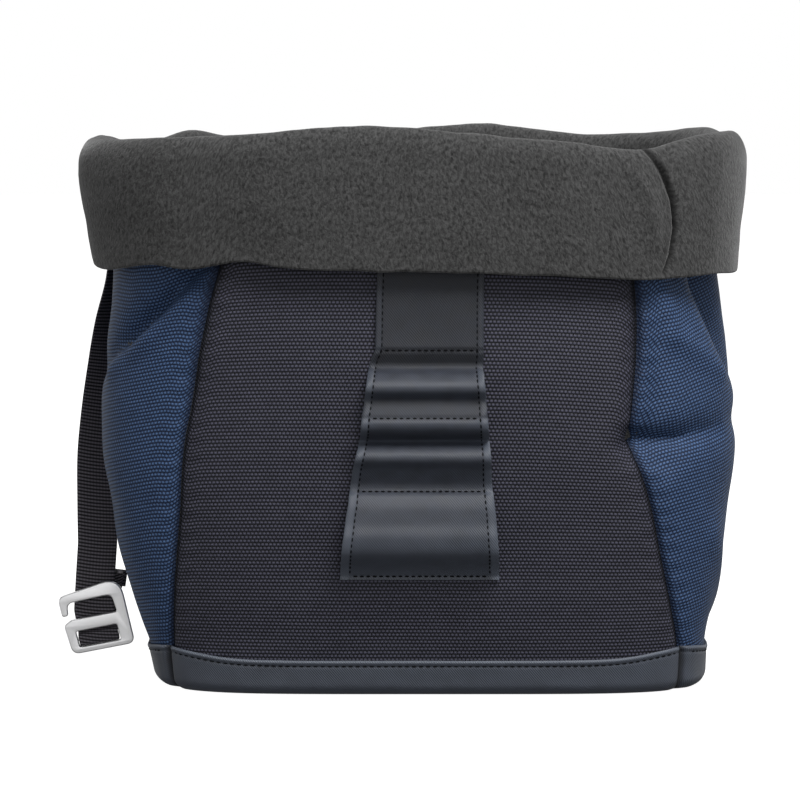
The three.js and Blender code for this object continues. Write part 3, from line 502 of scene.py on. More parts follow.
@dataclass(frozen=True)
class WovenNylon(Finish):
    """Coarse plain-woven nylon: round yarns over and under, which read as rows of short bright dashes."""

    weft: str = "#4f4f5f"
    warp: str = "#1a1b22"
    ground: str = "#090a0e"
    row_pitch: float = 1.75
    float_pitch: float = 1.85
    stagger: float = 0.5
    warp_height: float = 0.5
    float_bow: float = 0.6
    contrast: float = 1.6

    def surface(self, tree: bpy.types.NodeTree) -> dict[str, object]:
        """Makes the weave: bowed weft floats in staggered rows, with the warp showing between them, and
        painted shade beside the seams.
        """
        add = partial(add_node, tree)
        place = add("SeparateXYZ", (self.cloth_place(tree, self.float_pitch, self.row_pitch),))
        row = add("Math", (place.outputs[1],), operation="FLOOR")
        bow = self.rib(tree, add("Math", (row, self.stagger, place), operation="MULTIPLY_ADD"))
        rounded = add("Math", (bow, self.float_bow), operation="POWER")
        weft = add("Math", (self.rib(tree, place.outputs[1]), rounded), operation="MULTIPLY")
        warp = add("Math", (bow, -self.warp_height, self.warp_height), operation="MULTIPLY_ADD")
        height = add("Math", (weft, warp), operation="MAXIMUM")
        above = add("Math", (weft, warp), operation="GREATER_THAN")
        yarn = add("Mix", {SHARE: above, FIRST: self.warp, SECOND: self.weft}, data_type="RGBA")
        uneven = add("TexNoise", {"Vector": self.cloth_place(tree, 9.0, 2.4), "Scale": 1.0, "Detail": 3.0})
        crown = add("Math", (height, self.contrast), operation="POWER")
        worn = add("Math", (uneven, 0.8, 0.6), operation="MULTIPLY_ADD")
        lit = add("Math", (crown, worn), operation="MULTIPLY")
        shade = add("Mix", {SHARE: lit, FIRST: self.ground, SECOND: yarn.outputs[BLEND]}, data_type="RGBA")
        # Painted shade: beside the seams the weave darkens towards its ground colour.
        seam = add("Attribute", attribute_name=PAINTED_LIGHT_TONE).outputs["Fac"]
        sewn = add("Mix", {SHARE: seam, FIRST: shade.outputs[BLEND], SECOND: self.ground}, data_type="RGBA")
        bump = add("Bump", {"Height": height, "Distance": 0.35 * MM, "Strength": 0.9})
        return {"Base Color": sewn.outputs[BLEND], "Roughness": 0.6, "Specular IOR Level": 0.25,
                "Normal": bump}


@dataclass(frozen=True)
class Fleece(Finish):
    """Brushed polyester fleece: a short matt nap in fine upright streaks that catches light at its edges."""

    dark: str = "#272727"
    light: str = "#4c4c4c"
    # Colour of the painted shade in the cuff's crease.
    crease: str = "#0c0c0c"

    def surface(self, tree: bpy.types.NodeTree) -> dict[str, object]:
        """Makes the nap from two sizes of streaks over soft blotches, with painted shade in the crease."""
        add = partial(add_node, tree)
        fine = add("TexNoise", {"Vector": self.cloth_place(tree, 1.15, 1.8), "Scale": 1.0, "Detail": 2.0,
                                "Roughness": 0.6, "Distortion": 0.6})
        tuft = add("TexNoise", {"Vector": self.cloth_place(tree, 2.0, 2.8), "Scale": 1.0, "Detail": 2.0,
                                "Distortion": 0.3})
        blotch = add("TexNoise", {"Vector": self.cloth_place(tree, 26, 34), "Scale": 1.0})
        tufts = add("Math", (tuft, 0.4), operation="MULTIPLY")
        height = add("Math", (fine, 0.65, tufts), operation="MULTIPLY_ADD")
        streaks = add("Math", (height, 3.6, -1.5), operation="MULTIPLY_ADD")
        tone = add("Math", (blotch, 0.3, streaks), operation="MULTIPLY_ADD")
        nap = add("Mix", {SHARE: tone, FIRST: self.dark, SECOND: self.light}, data_type="RGBA")
        # Painted shade: along the cuff's crease the nap darkens towards the crease colour.
        deep = add("Attribute", attribute_name=PAINTED_LIGHT_TONE).outputs["Fac"]
        shade = add("Mix", {SHARE: deep, FIRST: nap.outputs[BLEND], SECOND: self.crease}, data_type="RGBA")
        bump = add("Bump", {"Height": height, "Distance": 0.75 * MM, "Strength": 0.8})
        return {"Base Color": shade.outputs[BLEND], "Roughness": 0.95, "Specular IOR Level": 0.15,
                "Sheen Weight": 0.22, "Sheen Roughness": 0.45, "Normal": bump}


@dataclass(frozen=True)
class CoatedFabric(Finish):
    """Fabric with a smooth polymer coat: a soft grey-blue shine over the cloth's faint diagonal."""

    dark: str = "#16181e"
    light: str = "#323743"
    # The edge colour paints highlights and the paler tone of folds and bands; the seam colour is painted
    # shade in seam grooves, recesses and under the cuff.
    edge: str = "#5f6672"
    seam: str = "#0b0c0f"
    grain: float = 1.15

    def surface(self, tree: bpy.types.NodeTree) -> dict[str, object]:
        """Makes the coat with its grain: paler towards the edge colour where the tone is above 0, and painted
        shade towards the dark seam colour, duller, where it is below 0.
        """
        add = partial(add_node, tree)
        place = add("SeparateXYZ", (self.cloth_place(tree, self.grain, self.grain),))
        slope = add("Math", (place.outputs[1], 0.8, place), operation="MULTIPLY_ADD")
        angle = add("Math", (slope, 2 * math.pi), operation="MULTIPLY")
        twill = add("Math", (angle,), operation="SINE")
        soft = add("TexNoise", {"Vector": self.cloth_place(tree, 7, 7), "Scale": 1.0, "Detail": 4.0})
        cloudy = add("Math", (soft, 1.1), operation="MULTIPLY")
        tone = add("Math", (twill, 0.36, cloudy), operation="MULTIPLY_ADD")
        coat = add("Mix", {SHARE: tone, FIRST: self.dark, SECOND: self.light}, data_type="RGBA")
        painted_light_and_paling = add("Attribute", attribute_name=PAINTED_LIGHT_TONE).outputs["Fac"]
        shade = add("Mix", {SHARE: painted_light_and_paling, FIRST: coat.outputs[BLEND], SECOND: self.edge}, data_type="RGBA")
        # Painted shade: where the tone is below 0 the coat darkens towards the seam colour.
        sunk = add("Math", (painted_light_and_paling, -1.0), operation="MULTIPLY")
        sunk = add("Math", (sunk, 0.0), operation="MAXIMUM")
        deep = add("Mix", {SHARE: sunk, FIRST: shade.outputs[BLEND], SECOND: self.seam}, data_type="RGBA")
        rough = add("Math", (soft, 0.2, 0.4), operation="MULTIPLY_ADD")
        rough = add("Math", (sunk, 0.4, rough), operation="MULTIPLY_ADD")
        height = add("Math", (twill, 0.42, soft), operation="MULTIPLY_ADD")
        bump = add("Bump", {"Height": height, "Distance": 0.2 * MM, "Strength": 0.7})
        return {"Base Color": deep.outputs[BLEND], "Roughness": rough, "Specular IOR Level": 0.5,
                "Normal": bump}


@dataclass(frozen=True)
class Webbing(Finish):
    """Ribbed nylon webbing: close crosswise ribs of black yarn, broken by the yarns that bind them."""

    ridge: str = "#706c74"
    ground: str = "#08080a"
    rib_pitch: float = 1.75
    yarn_pitch: float = 1.6

    def surface(self, tree: bpy.types.NodeTree) -> dict[str, object]:
        """Makes the ribs and the yarns that bind them."""
        add = partial(add_node, tree)
        place = add("SeparateXYZ", (self.cloth_place(tree, self.yarn_pitch, self.rib_pitch),))
        yarns = add("Math", (self.rib(tree, place), 0.25, 0.75), operation="MULTIPLY_ADD")
        height = add("Math", (self.rib(tree, place.outputs[1]), yarns), operation="MULTIPLY")
        lit = add("Math", (height, 2.0), operation="POWER")
        shade = add("Mix", {SHARE: lit, FIRST: self.ground, SECOND: self.ridge}, data_type="RGBA")
        bump = add("Bump", {"Height": height, "Distance": 0.4 * MM, "Strength": 0.9})
        return {"Base Color": shade.outputs[BLEND], "Roughness": 0.65, "Specular IOR Level": 0.25,
                "Normal": bump}


@dataclass(frozen=True)
class SatinAluminium(Finish):
    """Tumbled and anodised aluminium: light grey, evenly blurred highlights with a very fine grain."""

    colour: str = "#f6f6f7"
    grain: float = 0.9

    def surface(self, tree: bpy.types.NodeTree) -> dict[str, object]:
        """Makes the metal with its fine grain."""
        place = add_node(tree, "TexCoord").outputs["Object"]
        grain = add_node(tree, "TexNoise", {"Vector": place, "Scale": 1 / (self.grain * MM), "Detail": 2.0})
        rough = add_node(tree, "Math", (grain, 0.12, 0.36), operation="MULTIPLY_ADD")
        bump = add_node(tree, "Bump", {"Height": grain, "Distance": 0.05 * MM, "Strength": 0.5})
        return {"Base Color": self.colour, "Metallic": 1.0, "Roughness": rough, "Normal": bump}


@dataclass(frozen=True)
class SewingThread(Finish):
    """Twisted polyester thread: near black and dull, so each stitch reads as a short dark dash."""

    dark: str = "#040406"
    light: str = "#0e0f13"
    twist: float = 0.5

    def surface(self, tree: bpy.types.NodeTree) -> dict[str, object]:
        """Makes the thread with its twist."""
        place = add_node(tree, "TexCoord").outputs["Object"]
        twist = add_node(tree, "TexNoise", {"Vector": place, "Scale": 1 / (self.twist * MM), "Detail": 1.0})
        shade = add_node(tree, "Mix", {SHARE: twist, FIRST: self.dark, SECOND: self.light}, data_type="RGBA")
        return {"Base Color": shade.outputs[BLEND], "Roughness": 0.8, "Specular IOR Level": 0.1}


@dataclass(frozen=True)
class StudioPaper(Finish):
    """Matt white studio paper, lit from within so that it stays as white as the air behind it."""

    dark: str = "#a8a8a8"
    light: str = "#acacac"
    glow: float = 0.96

    def surface(self, tree: bpy.types.NodeTree) -> dict[str, object]:
        """Makes the paper with a trace of unevenness."""
        place = add_node(tree, "TexCoord").outputs["Object"]
        soft = add_node(tree, "TexNoise", {"Vector": place, "Scale": 3.0})
        shade = add_node(tree, "Mix", {SHARE: soft, FIRST: self.dark, SECOND: self.light}, data_type="RGBA")
        return {"Base Color": shade.outputs[BLEND], "Roughness": 0.9, "Specular IOR Level": 0.0,
                "Emission Color": "#ffffff", "Emission Strength": self.glow}


def add_object(name: str, data: bpy.types.ID) -> bpy.types.Object:
    """Puts a new object with its data into the scene."""
    made = bpy.data.objects.new(name, data)
    bpy.context.scene.collection.objects.link(made)
    return made


def lengths_along(points: np.ndarray, axis: int) -> np.ndarray:
    """Gives each grid point's distance along its row (axis 1) or column (axis 0)."""
    steps = np.linalg.norm(np.diff(points, axis=axis), axis=-1)
    start = np.zeros_like(np.take(steps, [0], axis=axis))
    return np.concatenate([start, np.cumsum(steps, axis=axis)], axis=axis)


def outward(points: np.ndarray) -> np.ndarray:
    """Gives the unit normals of a grid of points whose columns run to the right and rows run up."""
    made = np.cross(np.gradient(points, axis=1), np.gradient(points, axis=0))
    return made / np.maximum(np.linalg.norm(made, axis=-1, keepdims=True), 1e-9)


def sheet_mesh(points: np.ndarray, closed: bool = False, thickness: float = 0.0,
               painted_light_tone: np.ndarray | None = None, tilt: float = 0.0) -> bmesh.types.BMesh:
    """Makes a cloth mesh from a flat grid that is moved to a grid of points.

    Args:
        points: rows and columns of points, in millimetres.
        closed: whether the last column is the first one again.
        thickness: thickness given to it, to the inside.
        painted_light_tone: how far each point takes the finish's edge colour, up to 1, or its seam colour,
            down to -1; painted light and shade, and paler tone on the coat.
        tilt: how much the cloth's rows rise for each millimetre across.

    Returns:
        The mesh, with a cloth map in metres.
    """
    rows, columns = points.shape[:2]
    across = lengths_along(points, 1)
    if closed:
        even = np.median(across, axis=0)
        across = np.where(across[:, -1:] > 0.6 * even[-1], even, across)
    else:
        across = across - across[:, columns // 2][:, None]
    along = lengths_along(points, 0) - tilt * across
    bm = bmesh.new()
    layer = bm.loops.layers.uv.new(CLOTH_UV)
    painted_light_and_paling = bm.verts.layers.float.new(PAINTED_LIGHT_TONE) if painted_light_tone is not None else None
    bmesh.ops.create_grid(bm, x_segments=columns - 1, y_segments=rows - 1, size=0.5)
    cells = []
    for vert in bm.verts:
        column = round((vert.co.x + 0.5) * (columns - 1))
        row = round((vert.co.y + 0.5) * (rows - 1))
        cells.append((row, column))
        vert.co = points[row, column] * MM
        if painted_light_and_paling:
            vert[painted_light_and_paling] = painted_light_tone[row, column]
    for face in bm.faces:
        face.smooth = True
        for loop in face.loops:
            cell = cells[loop.vert.index]
            loop[layer].uv = (across[cell] * MM, along[cell] * MM)
    if closed:
        bmesh.ops.remove_doubles(bm, verts=bm.verts[:], dist=1e-6)
    bm.normal_update()
    if thickness:
        bmesh.ops.solidify(bm, geom=bm.faces[:], thickness=thickness * MM)
    return bm


@dataclass
class Maker:
    """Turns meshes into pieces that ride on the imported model."""

    finishes: dict[str, bpy.types.Material]

    def piece(self, name: str, bm: bmesh.types.BMesh, finish: str,
              nodes: tuple[str, ...] = (), sharp: float = 50.0) -> bpy.types.Object:
        """Makes one piece and tells the frame what it stands for.

        Args:
            name: the piece's name.
            bm: its mesh, which is freed.
            finish: which finish it has.
            nodes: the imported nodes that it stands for.
            sharp: edges that turn by more degrees than this stay crisp.

        Returns:
            The new object.
        """
        mesh = bpy.data.meshes.new(name)
        bm.to_mesh(mesh)
        bm.free()
        mesh.polygons.foreach_set("use_smooth", [True] * len(mesh.polygons))
        mesh.set_sharp_from_angle(angle=math.radians(sharp))
        made = add_object(name, mesh)
        made.data.materials.append(self.finishes[finish])
        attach(made, "root")
        if nodes:
            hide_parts(*nodes)
        LOG.info("%s: %d faces, stands for %s", name, len(mesh.polygons), ", ".join(nodes) or "nothing")
        return made


@dataclass
class StitchRun:
    """A row of separate stitches laid along a path."""

    pitch: float = 3.3
    length: float = 2.5
    width: float = 0.6
    height: float = 0.34

    def lay(self, bm: bmesh.types.BMesh, path: np.ndarray, normals: np.ndarray) -> None:
        """Adds the stitches to a mesh.

        Args:
            bm: the mesh that collects them.
            path: points along the row, in millimetres.
            normals: the cloth's normal at each point.
        """
        reach = lengths_along(path[None], 1)[0]
        count = int((reach[-1] - self.length) / self.pitch)
        middles = self.length / 2 + (np.arange(count) + 0.5) * (reach[-1] - self.length) / max(count, 1)
        for middle in middles:
            before, place, after = (Vector([np.interp(at, reach, path[:, k]) for k in range(3)])
                                    for at in (middle - 1, middle, middle + 1))
            ahead = (after - before).normalized()
            up = Vector([np.interp(middle, reach, normals[:, k]) for k in range(3)])
            side = up.cross(ahead).normalized()
            up = ahead.cross(side)
            turn = Matrix((ahead, side, up)).transposed().to_4x4()
            size = Matrix.Diagonal((self.length / 2 * MM, self.width / 2 * MM, self.height * MM, 1))
            shift = Matrix.Translation(place * MM)
            bmesh.ops.create_uvsphere(bm, u_segments=6, v_segments=5, radius=1.0, matrix=shift @ turn @ size)


@dataclass
class WovenWalls:
    """Four woven panels: near-black front and back, navy gussets folded in at the sides."""

    form: BagForm
    columns: int = 96
    rows: int = 104
    pucker: float = 0.34
    pucker_pitch: float = 8.5
    pucker_place: float = 5
    slack_depth: float = 0.5
    slack_length: float = 62
    turn_in: float = 0.9
    welt: float = 0.3
    welt_place: float = 3
    # Painted shade beside the seams.
    seam_painted_shade: float = 0.85
    tilt: float = 0.16

    names: ClassVar[dict[Side, str]] = {
        Side.FRONT: "front_panel",
        Side.RIGHT: "right_gusset",
        Side.BACK: "back_panel",
        Side.LEFT: "left_gusset",
    }

    def points(self, side: Side) -> tuple[np.ndarray, np.ndarray]:
        """Gives the panel's outer face, puckered at its seams and slack between them, and the painted shade
        beside its seams.
        """
        form = self.form
        z = np.linspace(form.base_thick + form.gap, form.wall_height, self.rows)[:, None]
        turns = form.panel_turns(side, z, seam_spread(self.columns))
        base = form.wall(turns, z, 0.0)
        across = lengths_along(base, 1)
        edge = np.minimum(across, across[:, -1:] - across)
        up = np.broadcast_to(z, edge.shape)
        beat = np.sin(2 * math.pi * up / self.pucker_pitch + 2.2 * np.sin(up / 23 + side.value))
        seam = self.pucker * beat * bell(edge - self.pucker_place, 5.5) * smoothstep(edge, 0, 3)
        clear = smoothstep(up, form.band_height, form.band_height + 12)
        calm = smoothstep(edge, 2, 16) * clear
        loose = self.slack_depth * slack(across, up, self.slack_length, 1.3 + side.value) * calm
        lip = -self.turn_in * bell(edge, 1.1) + self.welt * bell(edge - self.welt_place, 1.4)
        # Painted shade: the cloth darkens beside each seam, over a wider strip higher up.
        shade = self.seam_painted_shade * bell(edge, mix(1.7, 3.6, smoothstep(up, 100, 190)))
        return base + outward(base) * (seam * clear + loose + lip)[..., None], shade

    def build(self, maker: Maker) -> None:
        """Builds the four panels."""
        for side, name in self.names.items():
            black = side in (Side.FRONT, Side.BACK)
            points, painted_light_tone = self.points(side)
            tilt = 0.0 if black else self.tilt
            bm = sheet_mesh(points, thickness=self.form.cloth, painted_light_tone=painted_light_tone, tilt=tilt)
            finish = "black_weave" if black else "navy_weave"
            maker.piece(f"{name}_cloth", bm, finish, (name,))


@dataclass
class FootBands:
    """The coated band round the foot in four lengths, with its top stitching, and the coated base."""

    form: BagForm
    columns: int = 110
    base_columns: int = 241
    stitch_drop: float = 2.8
    groove: float = 1.3
    welt: float = 0.7
    roll: float = 0.35
    tone: float = 0.3
    # Painted shade in the seam grooves at the band's ends.
    groove_painted_shade: float = 1.2

    def rows_of(self, side: Side, shares: np.ndarray) -> tuple[np.ndarray, np.ndarray]:
        """Gives turns and heights for rows at shares of the way from the floor to the band's top edge."""
        flat = np.full((len(shares), 1), self.form.band_height) * np.clip(shares, 0, 1)[:, None]
        turns = self.form.panel_turns(side, flat, seam_spread(self.columns))
        return turns, self.form.band_top(turns) * shares[:, None]

    def points(self, side: Side) -> tuple[np.ndarray, np.ndarray]:
        """Gives the band's outer face, folded at its top and grooved at its seams, and its tone: paler all
        over, a painted highlight along the fold and painted shade in the seam grooves.
        """
        form = self.form
        shares = np.concatenate([np.linspace(0, 0.3, 12), np.linspace(0.34, 0.99, 26), [0.995, 1.0]])
        turns, z = self.rows_of(side, shares)
        drop = form.band_top(turns) - z
        across = lengths_along(form.smooth(turns, z), 1)
        end = np.minimum(across, across[:, -1:] - across)
        seam = self.welt * bell(end - 2.8, 1.4) - self.groove * bell(end, 1.2)
        puff = self.roll * (bell(drop - 1.2, 1.3) - bell(drop - self.stitch_drop, 0.7))
        puff = puff - 0.6 * bell(drop, 0.35)
        wave = 0.25 * slack(across, z, 30, 4.0 + side.value) * smoothstep(z, 2, 8)
        # Painted highlight along the folded top edge; the return below adds painted shade in the seam
        # grooves.
        painted_light_and_paling = 0.35 * bell(drop - 0.5, 0.5) + 0.1 * bell(drop - 1.3, 1.0)
        out = form.gap + form.coated + puff + wave + seam * smoothstep(z, 0, 5)
        return form.wall(turns, z, out), self.tone + painted_light_and_paling - self.groove_painted_shade * bell(end, 1.2)

    def build(self, maker: Maker, stitches: bmesh.types.BMesh) -> None:
        """Builds the bands, their stitches and the base.

        Args:
            maker: makes the pieces.
            stitches: the mesh that collects the stitches.
        """
        form = self.form
        for side in Side:
            name = f"{side.name.lower()}_band"
            points, painted_light_tone = self.points(side)
            bm = sheet_mesh(points, thickness=form.coated - form.shrink, painted_light_tone=painted_light_tone)
            maker.piece(f"{name}_coat", bm, "coated_fabric", (name,))
            turns, z = self.rows_of(side, np.array([0.8, 0.9, 1.0]))
            line_z = form.band_top(turns[2]) - self.stitch_drop
            line = form.wall(turns[2], line_z, form.gap + form.coated - 0.2)
            normals = form.smooth(turns[2], line_z, 1.0) - form.smooth(turns[2], line_z)
            StitchRun(width=0.8).lay(stitches, line[3:-3], normals[3:-3])
        turns = np.linspace(-math.pi, math.pi, self.base_columns)
        rings = [form.wall(turns, z, 0.0) for z in (0.0, 0.5, form.base_thick)]
        low = [rings[0] * [share, share, 1] for share in (0.0, 0.5, 0.9)]
        high = [rings[2] * [share, share, 1] for share in (0.9, 0.5, 0.0)]
        bm = sheet_mesh(np.stack([*low, *rings, *high]), closed=True)
        maker.piece("base_coat", bm, "coated_fabric", ("base_panel",))


@dataclass
class FleeceLining:
    """The lining: floor, inner wall, roll over the mouth and hanging cuff in one sheet of fleece."""

    form: BagForm
    columns: int = 330
    wall_rows: int = 48
    inner_rows: int = 44
    hang_rows: int = 56
    roll_rows: int = 22
    # Rows of the roll that take the painted crease shade.
    toned_roll_rows: int = 14
    radius: float = 150

    # Turns in degrees between which columns stand closer for the cuff's crease, and their step.
    crease_turns: ClassVar[tuple[float, float, float]] = (-42, -29.5, 0.17)

    def build(self, maker: Maker) -> None:
        """Builds the lining as one closed sheet, hidden side first."""
        form = self.form
        crease_columns = np.radians(np.arange(*self.crease_turns))
        turns = np.union1d(np.linspace(-math.pi, math.pi, self.columns + 1), crease_columns)
        outer = -form.cloth - form.gap
        inner = outer - form.fleece
        foot = form.base_thick + form.gap
        floor = foot + form.fleece
        rim = form.rim_height * form.rim_share(np.degrees(turns))
        hem = form.hem_height * form.hem_share(np.degrees(turns))
        hem = hem + 0.5 * slack(turns * self.radius, 0 * turns, 40, 2.0)
        middle = inner + form.roll_half

        def flat(share: float, z: float, out: float) -> np.ndarray:
            """Gives a ring of the wall or, drawn in by the share, of the floor."""
            return form.wall(turns, np.full(turns.shape, z), out) * [share, share, 1]

        def roll(share: float, inset: float) -> np.ndarray:
            """Gives a ring of the roll over the mouth, from the inside at 0 to the outside at 1."""
            angle = math.pi * share
            tall, half = ((form.roll_rise, form.roll_half) if share < 0.5 else
                          (form.roll_fall, form.roll_half - form.roll_draw))
            height = rim - tall + (tall - inset) * math.sin(angle)
            return form.cuff(turns, height, middle - (half - inset) * math.cos(angle))

        def hang(share: float, inset: float) -> np.ndarray:
            """Gives a ring of the hanging cuff, from the roll at 0 to the hem at 1."""
            out = mix(middle + form.roll_half - form.roll_draw, form.hem_stand, share)
            out = out + form.cuff_bow * math.sin(math.pi * share)
            return form.cuff(turns, mix(rim - form.roll_fall, hem, share), out - inset)

        def hem_turn(angle: float) -> np.ndarray:
            """Gives a ring of the hem's rounded edge."""
            half = form.fleece / 2
            out = form.hem_stand - half + half * math.cos(angle)
            return form.cuff(turns, hem - half * 0.8 * math.sin(angle), out)

        hidden = [flat(s, foot, outer) for s in (0.0, 0.6, 0.97)]
        hidden += [flat(1, z, outer) for z in np.linspace(foot, form.wall_height, self.wall_rows)]
        hidden += [roll(s, form.fleece) for s in np.linspace(0.2, 0.9, 6)]
        hidden += [hang(s, form.fleece) for s in np.linspace(0.03, 1, 9)]
        hemmed = [hem_turn(a) for a in np.linspace(math.pi * 0.85, math.pi * 0.15, 6)]
        shown = [hang(s, 0.0) for s in np.linspace(1, 0.02, self.hang_rows)]
        shown += [roll(s, 0.0) for s in np.linspace(0.97, 0.03, self.roll_rows)]
        shown += [flat(1, z, inner) for z in np.linspace(form.wall_height, floor + 3, self.inner_rows)]
        shown += [flat(s, floor, inner) for s in (1.0, 0.985, 0.9, 0.75, 0.5, 0.25, 0.0)]
        points = np.stack(hidden + hemmed + shown)
        first = len(hidden)
        face = points[first:]
        up = lengths_along(face, 0)
        around = np.broadcast_to(turns * self.radius, up.shape)
        closing = smoothstep(np.abs(np.abs(turns) - math.pi), 0.0, 0.2)
        loose = (0.35 * slack(around, up, 24, 3.0) + 0.5 * slack(around, up, 70, 5.0)) * closing
        loose = (loose * smoothstep(up, 0, 6))[..., None]
        face += outward(face) * loose * smoothstep(up[-1] - up, 60, 120)[..., None]
        points[:, -1] = points[:, 0]
        # Painted shade along the cuff's crease line, on the front only, on the hanging cuff and the outer
        # rows of the roll.
        line = np.abs(form.push([form.crease_line], form.smooth(turns, points[..., 2])))
        painted_light_tone = np.clip((line - 0.3) / 2.4, 0, 0.7) * (points[..., 1] < 0)
        painted_light_tone[:first] = 0
        painted_light_tone[first + len(hemmed) + self.hang_rows + self.toned_roll_rows:] = 0
        bm = sheet_mesh(points, closed=True, painted_light_tone=painted_light_tone)
        maker.piece("fleece_cuff_and_lining", bm, "fleece", ("fleece_lining",), sharp=180)


@dataclass
class ClosureLadder:
    """The coated strip on the front: folded and stitched edges, sewn down in rows and slack between them."""

    form: BagForm
    half: float = 25
    stand: float = 9.6
    edge_share: float = 0.06
    stitch_heights: tuple[float, ...] = (0.672, 0.546, 0.404, 0.2385)
    rows: int = 220
    stitch_sink: float = 0.25

    # Creases beside the rows of stitches: height as a share of the wall's, depth and reach.
    creases: ClassVar[tuple[tuple[float, float, float], ...]] = (
        (0.651, 0.8, 3.4), (0.578, 1.7, 3.2), (0.448, 0.8, 3.0))

    def at(self, share: np.ndarray, height: np.ndarray, out: np.ndarray | float) -> np.ndarray:
        """Gives points of the strip.

        Args:
            share: place across it, from 0 at its left edge to 1.
            height: place up the wall, as a share of the wall's height.
            out: how far in front of its back face the points lie.

        Returns:
            The points.
        """
        left, right, off = (Curve(LADDER[:, 0], LADDER[:, k])(height) for k in (1, 2, 3))
        z = height * self.form.wall_height
        turn = self.form.turn_at(self.half * mix(left, right, share), z, -1)
        sunk = sum(deep * bell((height - row) * self.form.wall_height, reach)
                   for row, deep, reach in self.creases)
        return self.form.wall(turn, z, self.form.gap + out - sunk + np.maximum(off, 0) * self.stand)

    def build(self, maker: Maker, stitches: bmesh.types.BMesh) -> None:
        """Builds the strip and its stitching.

        Args:
            maker: makes the piece.
            stitches: the mesh that collects the stitches.
        """
        thick = self.form.coated
        share = np.unique(np.concatenate([np.linspace(0, 0.14, 13), np.linspace(0.14, 0.86, 21),
                                          np.linspace(0.86, 1, 13)]))[None]
        height = np.linspace(LADDER[-1, 0], LADDER[0, 0], self.rows)[:, None]
        edge = np.minimum(share, 1 - share)
        fold = 0.3 * smoothstep(self.edge_share - edge, 0.0, 0.012)
        fold = fold - 0.2 * bell(edge - self.edge_share, 0.01) - 0.5 * bell(edge, 0.006)
        rows = sum(0.5 * bell((height - row) * self.form.wall_height, 0.9) for row in self.stitch_heights)
        wave = 0.3 * slack(share * 60, height * self.form.wall_height, 26, 0.7)
        points = self.at(share, height, thick + fold - rows + wave * smoothstep(edge, 0.05, 0.2))
        # Paler along the folded edges; painted highlights and painted shade by height from the table.
        painted_light_tone = 0.26 * smoothstep(self.edge_share - edge, 0.004, 0.014)
        painted_light_tone = painted_light_tone + np.interp(height, *LADDER_PAINTED_LIGHT.T)
        bm = sheet_mesh(points, thickness=thick - self.form.shrink, painted_light_tone=painted_light_tone)
        maker.piece("closure_ladder_strip", bm, "coated_fabric", ("closure_ladder",))
        run = StitchRun(pitch=2.9, length=2.2, width=0.95)
        tall = np.linspace(LADDER[-1, 0] + 0.006, 0.86, 260)
        for side in (self.edge_share, 1 - self.edge_share):
            self.sew(run, stitches, np.full(tall.shape, side), tall)
        wide = np.linspace(self.edge_share, 1 - self.edge_share, 40)
        for row in self.stitch_heights:
            self.sew(run, stitches, wide, np.full(wide.shape, row))

    def sew(self, run: StitchRun, stitches: bmesh.types.BMesh, share: np.ndarray,
            height: np.ndarray) -> None:
        """Lays one row of stitches on the strip."""
        path = self.at(share, height, self.form.coated - self.stitch_sink)
        normals = np.cross(self.at(share + 0.01, height, 0.0) - self.at(share - 0.01, height, 0.0),
                           self.at(share, height + 0.002, 0.0) - self.at(share, height - 0.002, 0.0))
        run.lay(stitches, path, normals / np.linalg.norm(normals, axis=-1, keepdims=True))


@dataclass
class HookFrame:
    """Where the hook hangs and the sizes that the webbing shares with it, in millimetres."""

    width: float = 34
    plate: float = 3
    lift: float = 2.6
    back: float = 14
    clear: float = 9.3
    roll: float = math.radians(10.5)
    turn: float = math.radians(3)
    window: float = 8.2
    foot_bar: float = 3
    mid_bar: float = 6.2
    top_bar: float = 8
    slot: float = 9.2
    lip: float = 4.2
    leg: float = 6.6
    left_leg: float = 5.8
    lip_fall: float = 2.3
    tip_drop: float = 3.2
    bar_half: float = 1
    bar_thick: float = 1.1

    def matrix(self, form: BagForm) -> Matrix:
        """Gives the hook's place, with the middle of its bar as the origin."""
        drop = (self.window / 2 + self.foot_bar) * math.cos(self.roll) + self.width / 2 * math.sin(self.roll)
        place = Matrix.Translation((-form.half_width - self.clear, self.back, self.lift + drop))
        return place @ Matrix.Rotation(self.turn, 4, "Z") @ Matrix.Rotation(-self.roll, 4, "Y")

    @property
    def window_middle(self) -> float:
        """Sideways middle of the window."""
        return (self.left_leg - self.leg) / 2


